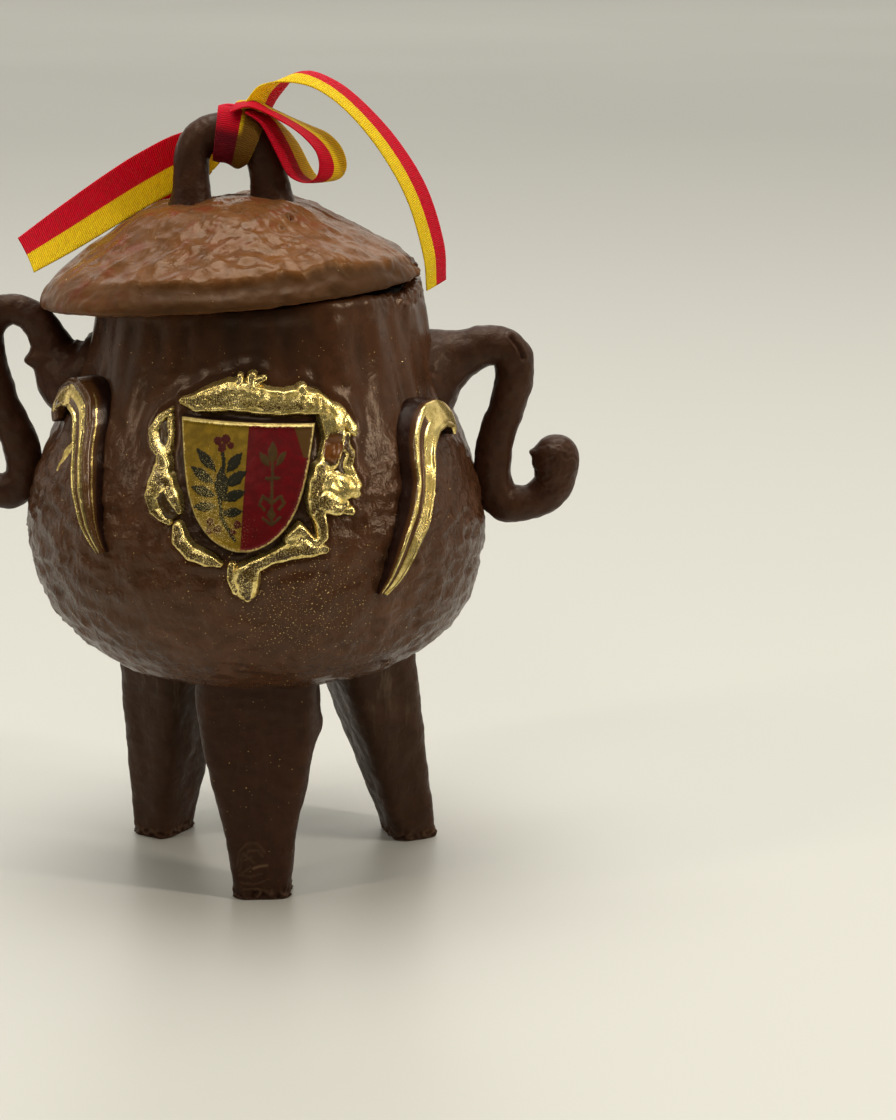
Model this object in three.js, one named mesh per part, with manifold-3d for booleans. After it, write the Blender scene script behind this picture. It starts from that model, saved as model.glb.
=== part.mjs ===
// A chocolate cauldron: a round-bellied pot on three tapered legs, with two scrolled
// side handles, a tilted lid with an arched grip, moulded gilt ornaments and a ribbon.
// Millimetres, +Z up, front towards -Y.
import * as THREE from 'three';
import { mergeVertices } from 'three/addons/utils/BufferGeometryUtils.js';
import Module from 'manifold-3d';

const wasm = await Module();
wasm.setup();

const DEGREE = Math.PI / 180;

// ---- Driving dimensions -------------------------------------------------------------

const GAP = 0.3;            // clearance between two separate pieces
const SKIN_GAP = 0.45;      // clearance under a thin piece that follows the pot's wall

// Pot: wall profile as [radius, height] from the bottom's middle up to the mouth.
const POT_PROFILE = [
  [0, 52.6], [12, 52.9], [22, 53.8], [32, 56.0], [41, 59.6], [49, 65.6], [54.9, 74], [58.6, 86],
  [58.6, 97.5], [55.9, 108.5], [51.6, 119], [46.9, 129], [44.2, 138], [42.5, 146], [41.7, 151.4],
];
const MOUTH_Z = 152.6;      // crest of the mouth before it is tilted with the lid
const MOUTH_INNER = 37.4;   // radius inside the mouth's wall
const MOUTH_FLOOR = 148.9;  // the pot is solid chocolate below this height
const MOUTH_DIP = 2.0;      // the wall is broken lower here, to the right of the front
const MOUTH_DIP_AT = 66 * DEGREE;
const MOUTH_DIP_SPREAD = 16 * DEGREE;
const POT_LEAN = { mean: 0.45, swing: 0.75, from: 48, period: 104 };

// Lid: dome profile as [radius, height above its flat underside].
const LID_PROFILE = [
  [48.4, 0.9], [48.1, 2.2], [47.0, 3.9], [43.3, 7.7], [36.0, 12.3], [30.0, 15.9], [23.0, 20.2],
  [15.0, 22.5], [6.0, 23.5], [0, 23.6],
];
const LID_CENTRE = new THREE.Vector3(-6.4, 0.3, 152.7);
const LID_TILT_SIDE = 4.46 * DEGREE;
const LID_TILT_BACK = 1.34 * DEGREE;

// Arched grip on the lid, as [distance along its plane, height, half thickness].
const ARCH_PATH = [
  [-10.3, 170.7, 5.6], [-9.9, 177.5, 4.9], [-9.8, 182.5, 4.5], [-9.2, 187.3, 4.5], [-7.3, 190.8, 4.6],
  [-4.0, 192.5, 4.6], [0.8, 192.8, 4.6], [5.3, 191.0, 4.6], [8.2, 187.0, 4.6], [9.7, 181.8, 4.9],
  [10.3, 176.7, 5.4], [10.5, 171.2, 6.2],
];
const ARCH_CENTRE_X = -5.9;
const ARCH_TURN = 5 * DEGREE;

// Side handles, as [x, height, half thickness], from the neck round to the curled tip.
const HANDLE_RIGHT_PATH = [
  [43.0, 131.4, 9.8], [48.5, 134.2, 7.8], [54.0, 136.4, 6.3], [59.3, 138.0, 5.3], [63.4, 137.8, 5.2],
  [65.8, 135.2, 5.2], [66.3, 131.3, 5.2], [65.8, 127.1, 5.0], [64.4, 121.6, 4.7], [62.2, 115.6, 4.7],
  [61.0, 109.4, 4.8], [60.9, 103.3, 5.0], [62.8, 98.2, 5.1], [67.4, 96.6, 4.6], [72.2, 97.4, 4.6],
  [76.2, 101.0, 5.2], [77.4, 105.4, 5.9], [77.1, 108.7, 6.1], [77.0, 110.7, 5.8], [76.8, 112.4, 4.9],
  [76.6, 113.8, 3.3], [76.5, 114.7, 0.9],
];
const HANDLE_LEFT_PATH = [
  [-40.0, 128.6, 10.6], [-47.6, 131.6, 9.9], [-51.6, 136.0, 6.6], [-53.2, 140.0, 5.0], [-54.9, 143.2, 4.4],
  [-57.6, 146.0, 4.0], [-60.2, 147.3, 4.0], [-62.9, 147.6, 4.0], [-66.3, 146.0, 4.2], [-68.5, 142.7, 4.3],
  [-69.1, 138.3, 4.5], [-68.5, 131.8, 4.7], [-66.7, 125.3, 4.7], [-64.4, 119.2, 4.7], [-62.2, 113.4, 4.7],
  [-61.0, 107.6, 4.7], [-61.4, 102.8, 4.9], [-64.6, 100.4, 4.8], [-68.5, 100.2, 4.5], [-73.0, 101.4, 4.6],
  [-77.0, 104.8, 5.2], [-78.2, 110.0, 5.5], [-74.9, 113.2, 4.1], [-70.9, 113.4, 0.9],
];
const HANDLE_DEPTH = 0.92;  // thickness front to back, as a share of the thickness seen

// Legs: middle of the foot and of the top, half widths evenly up the leg, and the half depth
// at the foot with its growth for each millimetre up.
const LEG_TOP_Z = 62;
const LEG_HALF_DEPTH = { foot: 6.0, growth: 0.105 };
const LEG_SQUARENESS = 4.4;
const LEGS = {
  leg_front: { foot: [1.25, -29], top: [0.3, -21.5], halfWidths: [7.3, 9.2, 12.7, 15.4, 15.6] },
  leg_left: { foot: [-29.3, 18], top: [-23.6, 14], halfWidths: [7.3, 9.4, 11.3, 13.2, 15.0] },
  leg_right: { foot: [38.6, 16], top: [24.2, 10], halfWidths: [7.3, 9.9, 12.4, 14.8, 17.2] },
};

// Scroll ornaments: middle line as [azimuth in degrees, height], tail first, with the
// width and the height of the relief at each point.
const SCROLL_RIGHT_LINE = [
  [33.6, 85], [36.5, 90], [39.8, 97.2], [43.4, 104], [46.2, 110.4], [48, 116], [49.8, 120.6],
  [53.6, 124], [58.8, 125.4], [64, 124.8], [67.8, 122.6], [69, 119.4],
];
const SCROLL_LEFT_LINE = [
  [-34.8, 95.3], [-38, 101.1], [-40.6, 107.6], [-42.9, 113.4], [-45.6, 119.4], [-48, 124.6],
  [-51.2, 128.6], [-56.8, 130.8], [-63.2, 130.4], [-68.8, 128.4], [-71.2, 125.4], [-69.4, 122.4],
];
const SCROLL_WIDTHS = [1.6, 3.2, 4.3, 4.7, 5.0, 5.8, 6.8, 7.0, 6.8, 6.0, 4.6, 2.0];
const SCROLL_RELIEF = [2.0, 3.6, 5.0, 5.8, 6.0, 6.2, 6.3, 6.4, 6.2, 5.4, 4.4, 3.0];
const SCROLL_SPREAD_RADIUS = 56;

// Shield: a flat-topped plaque that bends round the pot.
const SHIELD = { topZ: 128.1, bottomZ: 98.3, topX: 1.25, bottomX: 0.5, halfWidth: 16.2, relief: 2.6 };

// Cartouche round the shield: its outer edge as [x, height], anticlockwise from the right.
const CARTOUCHE_EDGE = [
  [27.6, 115.2], [27.2, 119.9], [26.2, 122.9], [27.8, 124.3], [25.6, 127.6], [22.7, 130.6], [19.0, 133.1],
  [14.7, 136.0], [10.2, 135.8], [5.6, 137.6], [2.4, 139.4], [-1.5, 138.6], [-6.0, 137.0], [-11.4, 135.6],
  [-16.2, 133.2], [-18.0, 131.2], [-21.6, 128.2], [-22.9, 124.4], [-21.6, 120.6], [-21.0, 118.2],
  [-22.0, 115.0], [-23.3, 111.4], [-21.3, 107.4], [-17.4, 104.8], [-16.8, 100.0], [-13.2, 96.0],
  [-9.2, 94.4], [-4.8, 94.4], [-2.6, 91.4], [-1.4, 88.6], [1.2, 87.2], [3.9, 88.8], [6.2, 92.4],
  [9.4, 95.2], [15.1, 95.6], [20.2, 98.0], [20.9, 102.6], [21.6, 106.6], [25.0, 108.0], [28.0, 111.0],
];
const CARTOUCHE_MARGIN = 2.0;   // open groove between the shield and the cartouche
const CARTOUCHE_RELIEF = 3.4;
const CARTOUCHE_LUMPS = 0.9;

// Ribbon, 13 mm wide: the near and the far edge of each strip as [x, y, height].
const RIBBON_THICKNESS = 0.8;
const KNOT_THICKNESS = 1.9;
const KNOT_FROM = 0.49;     // stretch of the grip that the knot wraps, as shares of its path
const KNOT_TO = 0.68;
const RIBBON_STRIPS = [
  {
    name: 'left tail',
    near: [
      [-3, 6.2, 193.2], [-9, 7.6, 193.4], [-19.4, 6.6, 191.6], [-28.9, 5.5, 187.1],
      [-37.7, 4.6, 181.7], [-49.7, 3.6, 173.4], [-60.6, 2.6, 165.4],
    ],
    far: [
      [-5, 5.6, 186.8], [-10.4, 8, 181.4], [-17, 6.8, 178.8], [-23.7, 3.9, 175.4],
      [-31.8, 1.2, 170.9], [-44.9, -2.8, 163.4], [-55.4, -6.8, 158],
    ],
  },
  {
    name: 'short end under the left tail',
    near: [
      [-8.9, 7.9, 187], [-11, 9.4, 184.6], [-14.2, 9.4, 181.9], [-17.8, 9, 179.4],
      [-21.5, 8.5, 177], [-25.1, 8, 174.5], [-29.2, 7.8, 171.7],
    ],
    far: [
      [-8.6, 9.4, 181.6], [-10.8, 14.6, 179.4], [-13.6, 17.4, 177.2], [-16.8, 18.4, 175.2],
      [-20.4, 18.8, 173], [-24, 19, 170.4], [-28, 19, 167.4],
    ],
  },
  {
    name: 'loop',
    near: [
      [-5.1, -6, 197.9], [-1, -6, 199.2], [2.5, -6, 198.4], [6.4, -6, 196.4], [10.4, -6, 194.1],
      [13.8, -6, 191.3], [16.4, -6, 188], [17.1, -6, 184.6], [16.2, -6, 181.6], [13.7, -6, 180.5],
      [10.8, -6, 181.3], [8.7, -6, 183.2], [5.5, -6, 189.6], [2.5, -6, 195.1], [-1.3, -6, 197.9],
    ],
    far: [
      [-2.9, 5, 199.9], [1.2, 5, 199.6], [5.2, 5, 197.8], [9.7, 5, 195.7], [14.3, 5, 193.7],
      [18.8, 5, 191.7], [22.1, 5, 188.3], [23.4, 5, 184], [22.2, 5, 180.9], [19.2, 5, 179.8],
      [16.3, 5, 180.6], [14.2, 5, 183.4], [10.9, 5, 189.6], [6.4, 5, 194.5], [1.1, 5, 196.7],
    ],
  },
  {
    name: 'long tail',
    near: [
      [-2.8, -2, 197.6], [-0.7, -2, 201.1], [2.6, -2, 204.3], [9.3, -2, 205.1], [16.8, -2, 203.2],
      [24.7, -2, 197.1], [32.7, -2, 187.2], [39.2, -2, 175.2], [43.1, -2, 161.5], [43.9, -2, 152.6],
    ],
    far: [
      [2.1, 10, 191.6], [3.6, 10, 196.3], [6.8, 10, 201.6], [12.7, 10, 206.9], [20.6, 10, 204.6],
      [28.4, 10, 198.5], [36.9, 10, 188.9], [43.9, 10, 177.2], [48.1, 10, 163.5], [48.7, 10, 153.8],
    ],
  },
];

// ---- Mesh detail --------------------------------------------------------------------

const POT_SIDES = 56;
const POT_WALL_STEPS = 28;
const LID_SIDES = 44;
const LID_DOME_STEPS = 12;
const HANDLE_SIDES = 12;
const HANDLE_STEPS = 36;
const ARCH_STEPS = 18;
const KNOT_STEPS = 5;
const LEG_SIDES = 16;
const LEG_STEPS = 5;
const SCROLL_STEPS = 22;
const SCROLL_ACROSS = 4;
const SHIELD_COLUMNS = 10;
const SHIELD_ROWS = 10;
const CARTOUCHE_SIDES = 8;
const CARTOUCHE_STEPS = 80;
const STRIP_STEPS = 24;

// ---- Working with closed meshes -----------------------------------------------------

// Six times the volume that the triangles enclose; negative when they face inwards.
function signedVolume(geometry) {
  const position = geometry.attributes.position;
  const index = geometry.index;
  const [a, b, c] = [new THREE.Vector3(), new THREE.Vector3(), new THREE.Vector3()];
  let volume = 0;
  for (let i = 0; i < index.count; i += 3) {
    a.fromBufferAttribute(position, index.getX(i));
    b.fromBufferAttribute(position, index.getX(i + 1));
    c.fromBufferAttribute(position, index.getX(i + 2));
    volume += a.dot(b.cross(c));
  }
  return volume;
}

function flipFaces(geometry) {
  const index = geometry.index;
  for (let i = 0; i < index.count; i += 3) {
    const second = index.getX(i + 1);
    index.setX(i + 1, index.getX(i + 2));
    index.setX(i + 2, second);
  }
}

// Welds a geometry into one closed mesh, moves each vertex by place, and faces it outwards.
function shaped(geometry, place) {
  geometry.deleteAttribute('normal');
  geometry.deleteAttribute('uv');
  const closed = mergeVertices(geometry, 1e-4);
  const position = closed.attributes.position;
  const vertex = new THREE.Vector3();
  for (let i = 0; i < position.count; i += 1) {
    vertex.fromBufferAttribute(position, i);
    const moved = place(vertex);
    position.setXYZ(i, moved.x, moved.y, moved.z);
  }
  if (signedVolume(closed) < 0) {
    flipFaces(closed);
  }
  return closed;
}

function solidOf(geometry) {
  return new wasm.Manifold(new wasm.Mesh({
    numProp: 3,
    vertProperties: new Float32Array(geometry.attributes.position.array),
    triVerts: new Uint32Array(geometry.index.array),
  }));
}

function geometryOf(solid) {
  const mesh = solid.getMesh();
  const geometry = new THREE.BufferGeometry();
  geometry.setAttribute('position', new THREE.BufferAttribute(mesh.vertProperties, 3));
  geometry.setIndex(new THREE.BufferAttribute(mesh.triVerts, 1));
  return geometry;
}

// What is left of a geometry after each of the other geometries is cut away from it.
function cutBy(geometry, ...cutters) {
  let solid = solidOf(geometry);
  for (const cutter of cutters) {
    solid = solid.subtract(solidOf(cutter));
  }
  return geometryOf(solid);
}

// The piece of a solid that encloses most: loose scraps go, and sealed hollows are filled.
function wholePiece(solid) {
  return solid.decompose().reduce((best, piece) => (piece.volume() > best.volume() ? piece : best));
}

function splineOf(pairs) {
  return new THREE.SplineCurve(pairs.map(([x, y]) => new THREE.Vector2(x, y)));
}

// The value at share t of a row of evenly spaced values.
function valueAt(values, t) {
  return splineOf(values.map((value, i) => [i, value])).getPoint(t).y;
}

function smoothStep(from, to, value) {
  return THREE.MathUtils.smoothstep(value, from, to);
}

// ---- Pot ----------------------------------------------------------------------------

const potCurve = splineOf(POT_PROFILE);
const potTable = potCurve.getPoints(600);

// Wall radius at a height: the profile's radius where it passes that height.
function potRadius(z) {
  const k = potTable.findIndex((point) => point.y >= z);
  if (k < 1) {
    return k === 0 ? potTable[0].x : potTable[potTable.length - 1].x;
  }
  const [low, high] = [potTable[k - 1], potTable[k]];
  return THREE.MathUtils.mapLinear(z, low.y, high.y, low.x, high.x);
}

// The pot was shaped by hand, so its axis leans a little to the right at foot and mouth.
function potLean(z) {
  const { mean, swing, from, period } = POT_LEAN;
  return mean + swing * Math.cos((2 * Math.PI * (z - from)) / period);
}

// Broad unevenness of the wall, in millimetres outwards: belly lumps and flats on the neck.
function potLumps(angle, z) {
  const belly = 0.32 * Math.sin(3 * angle + z / 23 + 0.6) + 0.22 * Math.sin(5 * angle - z / 17 + 2);
  const neck = 0.34 * Math.cos(9 * angle + 1) * smoothStep(118, 134, z);
  const sag = 1.1 * Math.exp(-(((angle + 1.62) / 0.55) ** 2) - ((z - 71) / 9) ** 2);
  return (belly + neck) * smoothStep(54, 62, z) + sag;
}

// A point at an azimuth from the front, a height, and a distance outside the wall.
function potPoint(angle, z, outside) {
  const radius = potRadius(z) + potLumps(angle, z) + outside;
  return new THREE.Vector3(potLean(z) + radius * Math.sin(angle), -radius * Math.cos(angle), z);
}

// The same for a piece on the front, placed by how far right of the middle it is.
function potFrontPoint(x, z, outside) {
  const angle = Math.asin((x - potLean(z)) / (potRadius(z) + 3));
  return potPoint(angle, z, outside);
}

const lidFrame = new THREE.Matrix4()
  .makeRotationFromEuler(new THREE.Euler(-LID_TILT_BACK, -LID_TILT_SIDE, 0))
  .setPosition(LID_CENTRE);
const lidUp = new THREE.Vector3(0, 0, 1).transformDirection(lidFrame);

// Height of the lid's flat underside above a point.
function lidUnderside(x, y) {
  const slope = lidUp.x * (x - LID_CENTRE.x) + lidUp.y * (y - LID_CENTRE.y);
  return LID_CENTRE.z - slope / lidUp.z;
}

// Height of the mouth's crest at an azimuth: just under the lid, lower where it is broken.
function mouthHeight(angle) {
  const [x, y] = [MOUTH_INNER * Math.sin(angle), -MOUTH_INNER * Math.cos(angle)];
  const dip = MOUTH_DIP * Math.exp(-(((angle - MOUTH_DIP_AT) / MOUTH_DIP_SPREAD) ** 2));
  return lidUnderside(x, y) - GAP - dip;
}

function latheOf(profile, sides) {
  const points = profile.map(([radius, z]) => new THREE.Vector2(radius, z));
  return new THREE.LatheGeometry(points, sides);
}

// A lathe turned about Y, with every vertex placed by its azimuth, height and radius.
function turned(profile, sides, place) {
  return shaped(latheOf(profile, sides), (vertex) => {
    const radius = Math.hypot(vertex.x, vertex.z);
    return place(Math.atan2(vertex.x, vertex.z), vertex.y, radius);
  });
}

function potWall(steps) {
  return potCurve.getPoints(steps).map((point) => [Math.max(point.x, 0), point.y]);
}

function potPlace(angle, z, radius) {
  const share = radius < 1e-6 ? 0 : 1;
  const outer = radius + share * potLumps(angle, z) * smoothStep(30, 36, radius);
  const wallShare = smoothStep(20, 36, radius);
  const crest = THREE.MathUtils.lerp(lidUnderside(0, 0) - GAP, mouthHeight(angle), wallShare);
  const height = z + (crest - MOUTH_Z) * smoothStep(132, 150, z);
  return new THREE.Vector3(potLean(z) + outer * Math.sin(angle), -outer * Math.cos(angle), height);
}

function potGeometry() {
  const rim = [
    [41.2, MOUTH_Z - 0.3], [39.6, MOUTH_Z], [MOUTH_INNER + 0.5, MOUTH_Z - 0.5],
    [MOUTH_INNER, MOUTH_FLOOR + 1], [MOUTH_INNER - 1.5, MOUTH_FLOOR], [0, MOUTH_FLOOR],
  ];
  return turned([...potWall(POT_WALL_STEPS), ...rim], POT_SIDES, potPlace);
}

// The pot without its mouth, grown by the clearance, for cutting what is stuck to it.
function potCutter() {
  const grown = potWall(POT_WALL_STEPS).map(([radius, z], i, wall) => {
    const [before, after] = [wall[Math.max(i - 1, 0)], wall[Math.min(i + 1, wall.length - 1)]];
    const run = new THREE.Vector2(after[0] - before[0], after[1] - before[1]).normalize();
    return i === 0 ? [0, z - GAP] : [radius + GAP * run.y, z - GAP * run.x];
  });
  return turned([...grown, [0, grown.at(-1)[1]]], POT_SIDES, potPlace);
}

// ---- Lid ----------------------------------------------------------------------------

// The lid's edge isn't quite round, and the dome has broad swells.
function lidUnevenness(angle, radius) {
  const edge = 1 + 0.008 * Math.sin(2 * angle + 0.5) + 0.007 * Math.sin(5 * angle + 1.2);
  const swell = 0.5 * Math.sin(3 * angle + 0.4) * Math.sin((Math.PI * radius) / 48.4);
  return { edge, swell };
}

function lidGeometry(grown = 0) {
  const dome = splineOf(LID_PROFILE).getPoints(LID_DOME_STEPS).map((p) => [Math.max(p.x, 0), p.y]);
  const profile = [[0, 0], [46.6, 0], ...dome];
  return turned(profile, LID_SIDES, (angle, z, radius) => {
    const { edge, swell } = lidUnevenness(angle, radius);
    const outer = radius === 0 ? 0 : radius * edge + grown;
    const height = z > 0 ? z + swell + grown : -grown;
    const onLid = new THREE.Vector3(outer * Math.sin(angle), -outer * Math.cos(angle), height);
    return onLid.applyMatrix4(lidFrame);
  });
}

// ---- Round bars: grip and handles ---------------------------------------------------

// A bar along a plane path of [distance, height, half thickness]; outOfPlane scales its depth.
function bar(path, sides, steps, { outOfPlane = 1, grown = 0, from = 0, to = 1 } = {}) {
  const line = splineOf(path);
  const girth = path.map(([, , half]) => half);
  return shaped(new THREE.CylinderGeometry(1, 1, 1, sides, steps), (vertex) => {
    const t = THREE.MathUtils.lerp(from, to, vertex.y + 0.5);
    const middle = line.getPoint(t);
    const along = line.getTangent(t);
    const half = valueAt(girth, t) + grown;
    const [inPlane, depth] = [vertex.x * half, vertex.z * half * outOfPlane];
    return new THREE.Vector3(middle.x - along.y * inPlane, depth, middle.y + along.x * inPlane);
  });
}

const archFrame = new THREE.Matrix4().makeRotationZ(ARCH_TURN).setPosition(ARCH_CENTRE_X, 0, 0);

function archGeometry(options, steps = ARCH_STEPS) {
  return bar(ARCH_PATH, HANDLE_SIDES, steps, options).applyMatrix4(archFrame);
}

function handleGeometry(path) {
  const handle = bar(path, HANDLE_SIDES, HANDLE_STEPS, { outOfPlane: HANDLE_DEPTH });
  return cutBy(handle, potCutter(), lidGeometry(GAP));
}

// ---- Legs ---------------------------------------------------------------------------

// A rounded-square outline: one coordinate of it, from a cosine or sine.
function squared(value) {
  return Math.sign(value) * Math.abs(value) ** (2 / LEG_SQUARENESS);
}

function legGeometry({ foot, top, halfWidths }) {
  const outwards = Math.atan2(foot[0], -foot[1]);
  const [sideX, sideY] = [Math.cos(outwards), Math.sin(outwards)];
  const leg = shaped(new THREE.CylinderGeometry(1, 1, 1, LEG_SIDES, LEG_STEPS), (vertex) => {
    const z = LEG_TOP_Z * (vertex.y + 0.5);
    const share = Math.hypot(vertex.x, vertex.z);
    const round = Math.atan2(vertex.z, vertex.x);
    const width = share * squared(Math.cos(round)) * valueAt(halfWidths, z / LEG_TOP_Z);
    const depth = share * squared(Math.sin(round)) * (LEG_HALF_DEPTH.foot + LEG_HALF_DEPTH.growth * z);
    const x = THREE.MathUtils.mapLinear(z, 0, LEG_TOP_Z, foot[0], top[0]);
    const y = THREE.MathUtils.mapLinear(z, 0, LEG_TOP_Z, foot[1], top[1]);
    return new THREE.Vector3(x + sideX * width + sideY * depth, y + sideY * width - sideX * depth, z);
  });
  return cutBy(leg, potCutter());
}

// ---- Moulded ornaments --------------------------------------------------------------

// A scroll: a ribbed bar of varying width that follows a line on the pot's wall.
function scrollGeometry(line) {
  const path = splineOf(line.map(([azimuth, z]) => [azimuth * DEGREE * SCROLL_SPREAD_RADIUS, z]));
  return shaped(new THREE.BoxGeometry(1, 1, 1, SCROLL_STEPS, SCROLL_ACROSS, 1), (vertex) => {
    const t = vertex.x + 0.5;
    const middle = path.getPoint(t);
    const along = path.getTangent(t);
    const side = vertex.y * valueAt(SCROLL_WIDTHS, t);
    const crown = 1 - 0.5 * (2 * vertex.y) ** 2 * 0.4;
    const outside = vertex.z < 0 ? SKIN_GAP : SKIN_GAP + valueAt(SCROLL_RELIEF, t) * crown;
    const angle = (middle.x - along.y * side) / SCROLL_SPREAD_RADIUS;
    return potPoint(angle, middle.y + along.x * side, outside);
  });
}

// Half the shield's width at share s of the way from its top to its point.
function shieldHalfWidth(s) {
  return SHIELD.halfWidth * (1 - 0.2 * s) * Math.max(1 - s ** 4.5, 0) ** 0.55;
}

function shieldPoint(side, s) {
  const { topX, bottomX, topZ, bottomZ } = SHIELD;
  const slope = -0.047 * side * shieldHalfWidth(s) * (1 - s);
  const x = THREE.MathUtils.lerp(topX, bottomX, s) + side * shieldHalfWidth(s);
  return [x, THREE.MathUtils.lerp(topZ, bottomZ, s) + slope];
}

function shieldGeometry() {
  return shaped(new THREE.BoxGeometry(1, 1, 1, SHIELD_COLUMNS, SHIELD_ROWS, 1), (vertex) => {
    const s = 0.995 * Math.sin((0.5 - vertex.y) * (Math.PI / 2));
    const [x, z] = shieldPoint(2 * vertex.x, s);
    const outside = vertex.z < 0 ? SKIN_GAP : SKIN_GAP + SHIELD.relief;
    return potFrontPoint(x, z, outside);
  });
}

// The groove's outer edge: the shield's outline, enlarged about its middle.
function grooveEdge() {
  const [middleX, middleZ] = [SHIELD.topX / 2 + SHIELD.bottomX / 2, (SHIELD.topZ + SHIELD.bottomZ) / 2];
  const scaleX = 1 + CARTOUCHE_MARGIN / SHIELD.halfWidth;
  const scaleZ = 1 + CARTOUCHE_MARGIN / (SHIELD.topZ - middleZ);
  const shares = Array.from({ length: 60 }, (_, i) => Math.sin(((i / 59) * Math.PI) / 2));
  const right = shares.map((s) => shieldPoint(1, s));
  const left = shares.map((s) => shieldPoint(-1, s)).reverse();
  const top = Array.from({ length: 30 }, (_, i) => shieldPoint(-1 + (2 * (i + 0.5)) / 30, 0));
  return [...right, ...left, ...top].map(([x, z]) => [(x - middleX) * scaleX, (z - middleZ) * scaleZ]);
}

// Distance from the shield's middle to the groove's edge in a direction.
function grooveRadius(edge, direction) {
  const aligned = ([x, z]) => (x * Math.cos(direction) + z * Math.sin(direction)) / Math.hypot(x, z);
  const nearest = edge.reduce((best, point) => (aligned(point) > aligned(best) ? point : best));
  return Math.hypot(...nearest);
}

function cartoucheGeometry() {
  const [middleX, middleZ] = [SHIELD.topX / 2 + SHIELD.bottomX / 2, (SHIELD.topZ + SHIELD.bottomZ) / 2];
  const outer = new THREE.CatmullRomCurve3(
    CARTOUCHE_EDGE.map(([x, z]) => new THREE.Vector3(x - middleX, z - middleZ, 0)), true, 'catmullrom',
  );
  const groove = grooveEdge();
  const ring = new THREE.TorusGeometry(2, 1, CARTOUCHE_SIDES, CARTOUCHE_STEPS);
  return shaped(ring, (vertex) => {
    const turn = Math.atan2(vertex.y, vertex.x) / (2 * Math.PI);
    const share = turn < 0 ? turn + 1 : turn;
    const edge = outer.getPoint(share);
    const direction = Math.atan2(edge.y, edge.x);
    const inner = Math.min(grooveRadius(groove, direction), edge.length() - 1.5);
    const across = (Math.hypot(vertex.x, vertex.y) - 1) / 2;
    const reach = THREE.MathUtils.lerp(inner, edge.length(), across);
    const lumps = CARTOUCHE_LUMPS * Math.sin(share * 44) * Math.cos(share * 19);
    const relief = (CARTOUCHE_RELIEF + lumps) * Math.max(vertex.z, 0) ** 0.7;
    const [x, z] = [middleX + reach * Math.cos(direction), middleZ + reach * Math.sin(direction)];
    return potFrontPoint(x, z, SKIN_GAP + relief);
  });
}

// ---- Ribbon -------------------------------------------------------------------------

function strip({ near, far }) {
  const curveOf = (points) => new THREE.CatmullRomCurve3(
    points.map((point) => new THREE.Vector3(...point)), false, 'catmullrom',
  );
  const nearEdge = curveOf(near);
  const farEdge = curveOf(far);
  return shaped(new THREE.BoxGeometry(1, 1, 1, STRIP_STEPS, 1, 1), (vertex) => {
    const t = vertex.x + 0.5;
    const from = nearEdge.getPoint(t);
    const across = farEdge.getPoint(t).sub(from);
    const normal = nearEdge.getTangent(t).cross(across).normalize();
    return from
      .addScaledVector(across, vertex.y + 0.5)
      .addScaledVector(normal, vertex.z * RIBBON_THICKNESS);
  });
}

function ribbonGeometry() {
  const knot = archGeometry({ grown: KNOT_THICKNESS, from: KNOT_FROM, to: KNOT_TO }, KNOT_STEPS);
  let ribbon = solidOf(knot);
  for (const piece of RIBBON_STRIPS) {
    ribbon = ribbon.add(solidOf(strip(piece)));
  }
  const clear = ribbon
    .subtract(solidOf(archGeometry({ grown: GAP })))
    .subtract(solidOf(lidGeometry(GAP)));
  return geometryOf(wholePiece(clear));
}

// ---- Materials and assembly ---------------------------------------------------------

function material(color, roughness, metalness = 0) {
  return new THREE.MeshStandardMaterial({ color, roughness, metalness });
}

const potChocolate = () => material(0x4a2a1f, 0.4);
const lidChocolate = () => material(0x5e3627, 0.35);
const darkChocolate = () => material(0x35201a, 0.55);
const glossyChocolate = () => material(0x2a1512, 0.25);
const gilding = () => material(0xb8963a, 0.4, 0.8);
const shieldIcing = () => material(0xb43a30, 0.4);
const ribbonSatin = () => material(0xc81e28, 0.7);

const model = new THREE.Group();

function add(name, geometry, surface) {
  const mesh = new THREE.Mesh(geometry, surface);
  mesh.name = name;
  model.add(mesh);
}

add('pot', potGeometry(), potChocolate());
add('lid', lidGeometry(), lidChocolate());
add('lid_handle', cutBy(archGeometry(), lidGeometry(GAP)), darkChocolate());
add('handle_left', handleGeometry(HANDLE_LEFT_PATH), darkChocolate());
add('handle_right', handleGeometry(HANDLE_RIGHT_PATH), darkChocolate());
for (const [name, leg] of Object.entries(LEGS)) {
  add(name, legGeometry(leg), darkChocolate());
}
add('scroll_left', scrollGeometry(SCROLL_LEFT_LINE), glossyChocolate());
add('scroll_right', scrollGeometry(SCROLL_RIGHT_LINE), glossyChocolate());
add('cartouche', cartoucheGeometry(), gilding());
add('shield', shieldGeometry(), shieldIcing());
add('ribbon', ribbonGeometry(), ribbonSatin());

// The origin is the middle of the whole object's footprint, on the plane under its feet.
const box = new THREE.Box3().setFromObject(model);
const group = new THREE.Group();
model.position.set(-(box.min.x + box.max.x) / 2, -(box.min.y + box.max.y) / 2, -box.min.z);
group.add(model);

export default group;
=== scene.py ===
"""Looks of a chocolate cauldron with gilt ornaments, an icing shield and a ribbon.

Shapes are worked out in millimetres about the pot's own axis, +Z up and the front
towards -Y. An azimuth is 0 at the front and grows towards +X. piece() turns the points
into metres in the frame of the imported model.
"""

import math

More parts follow.
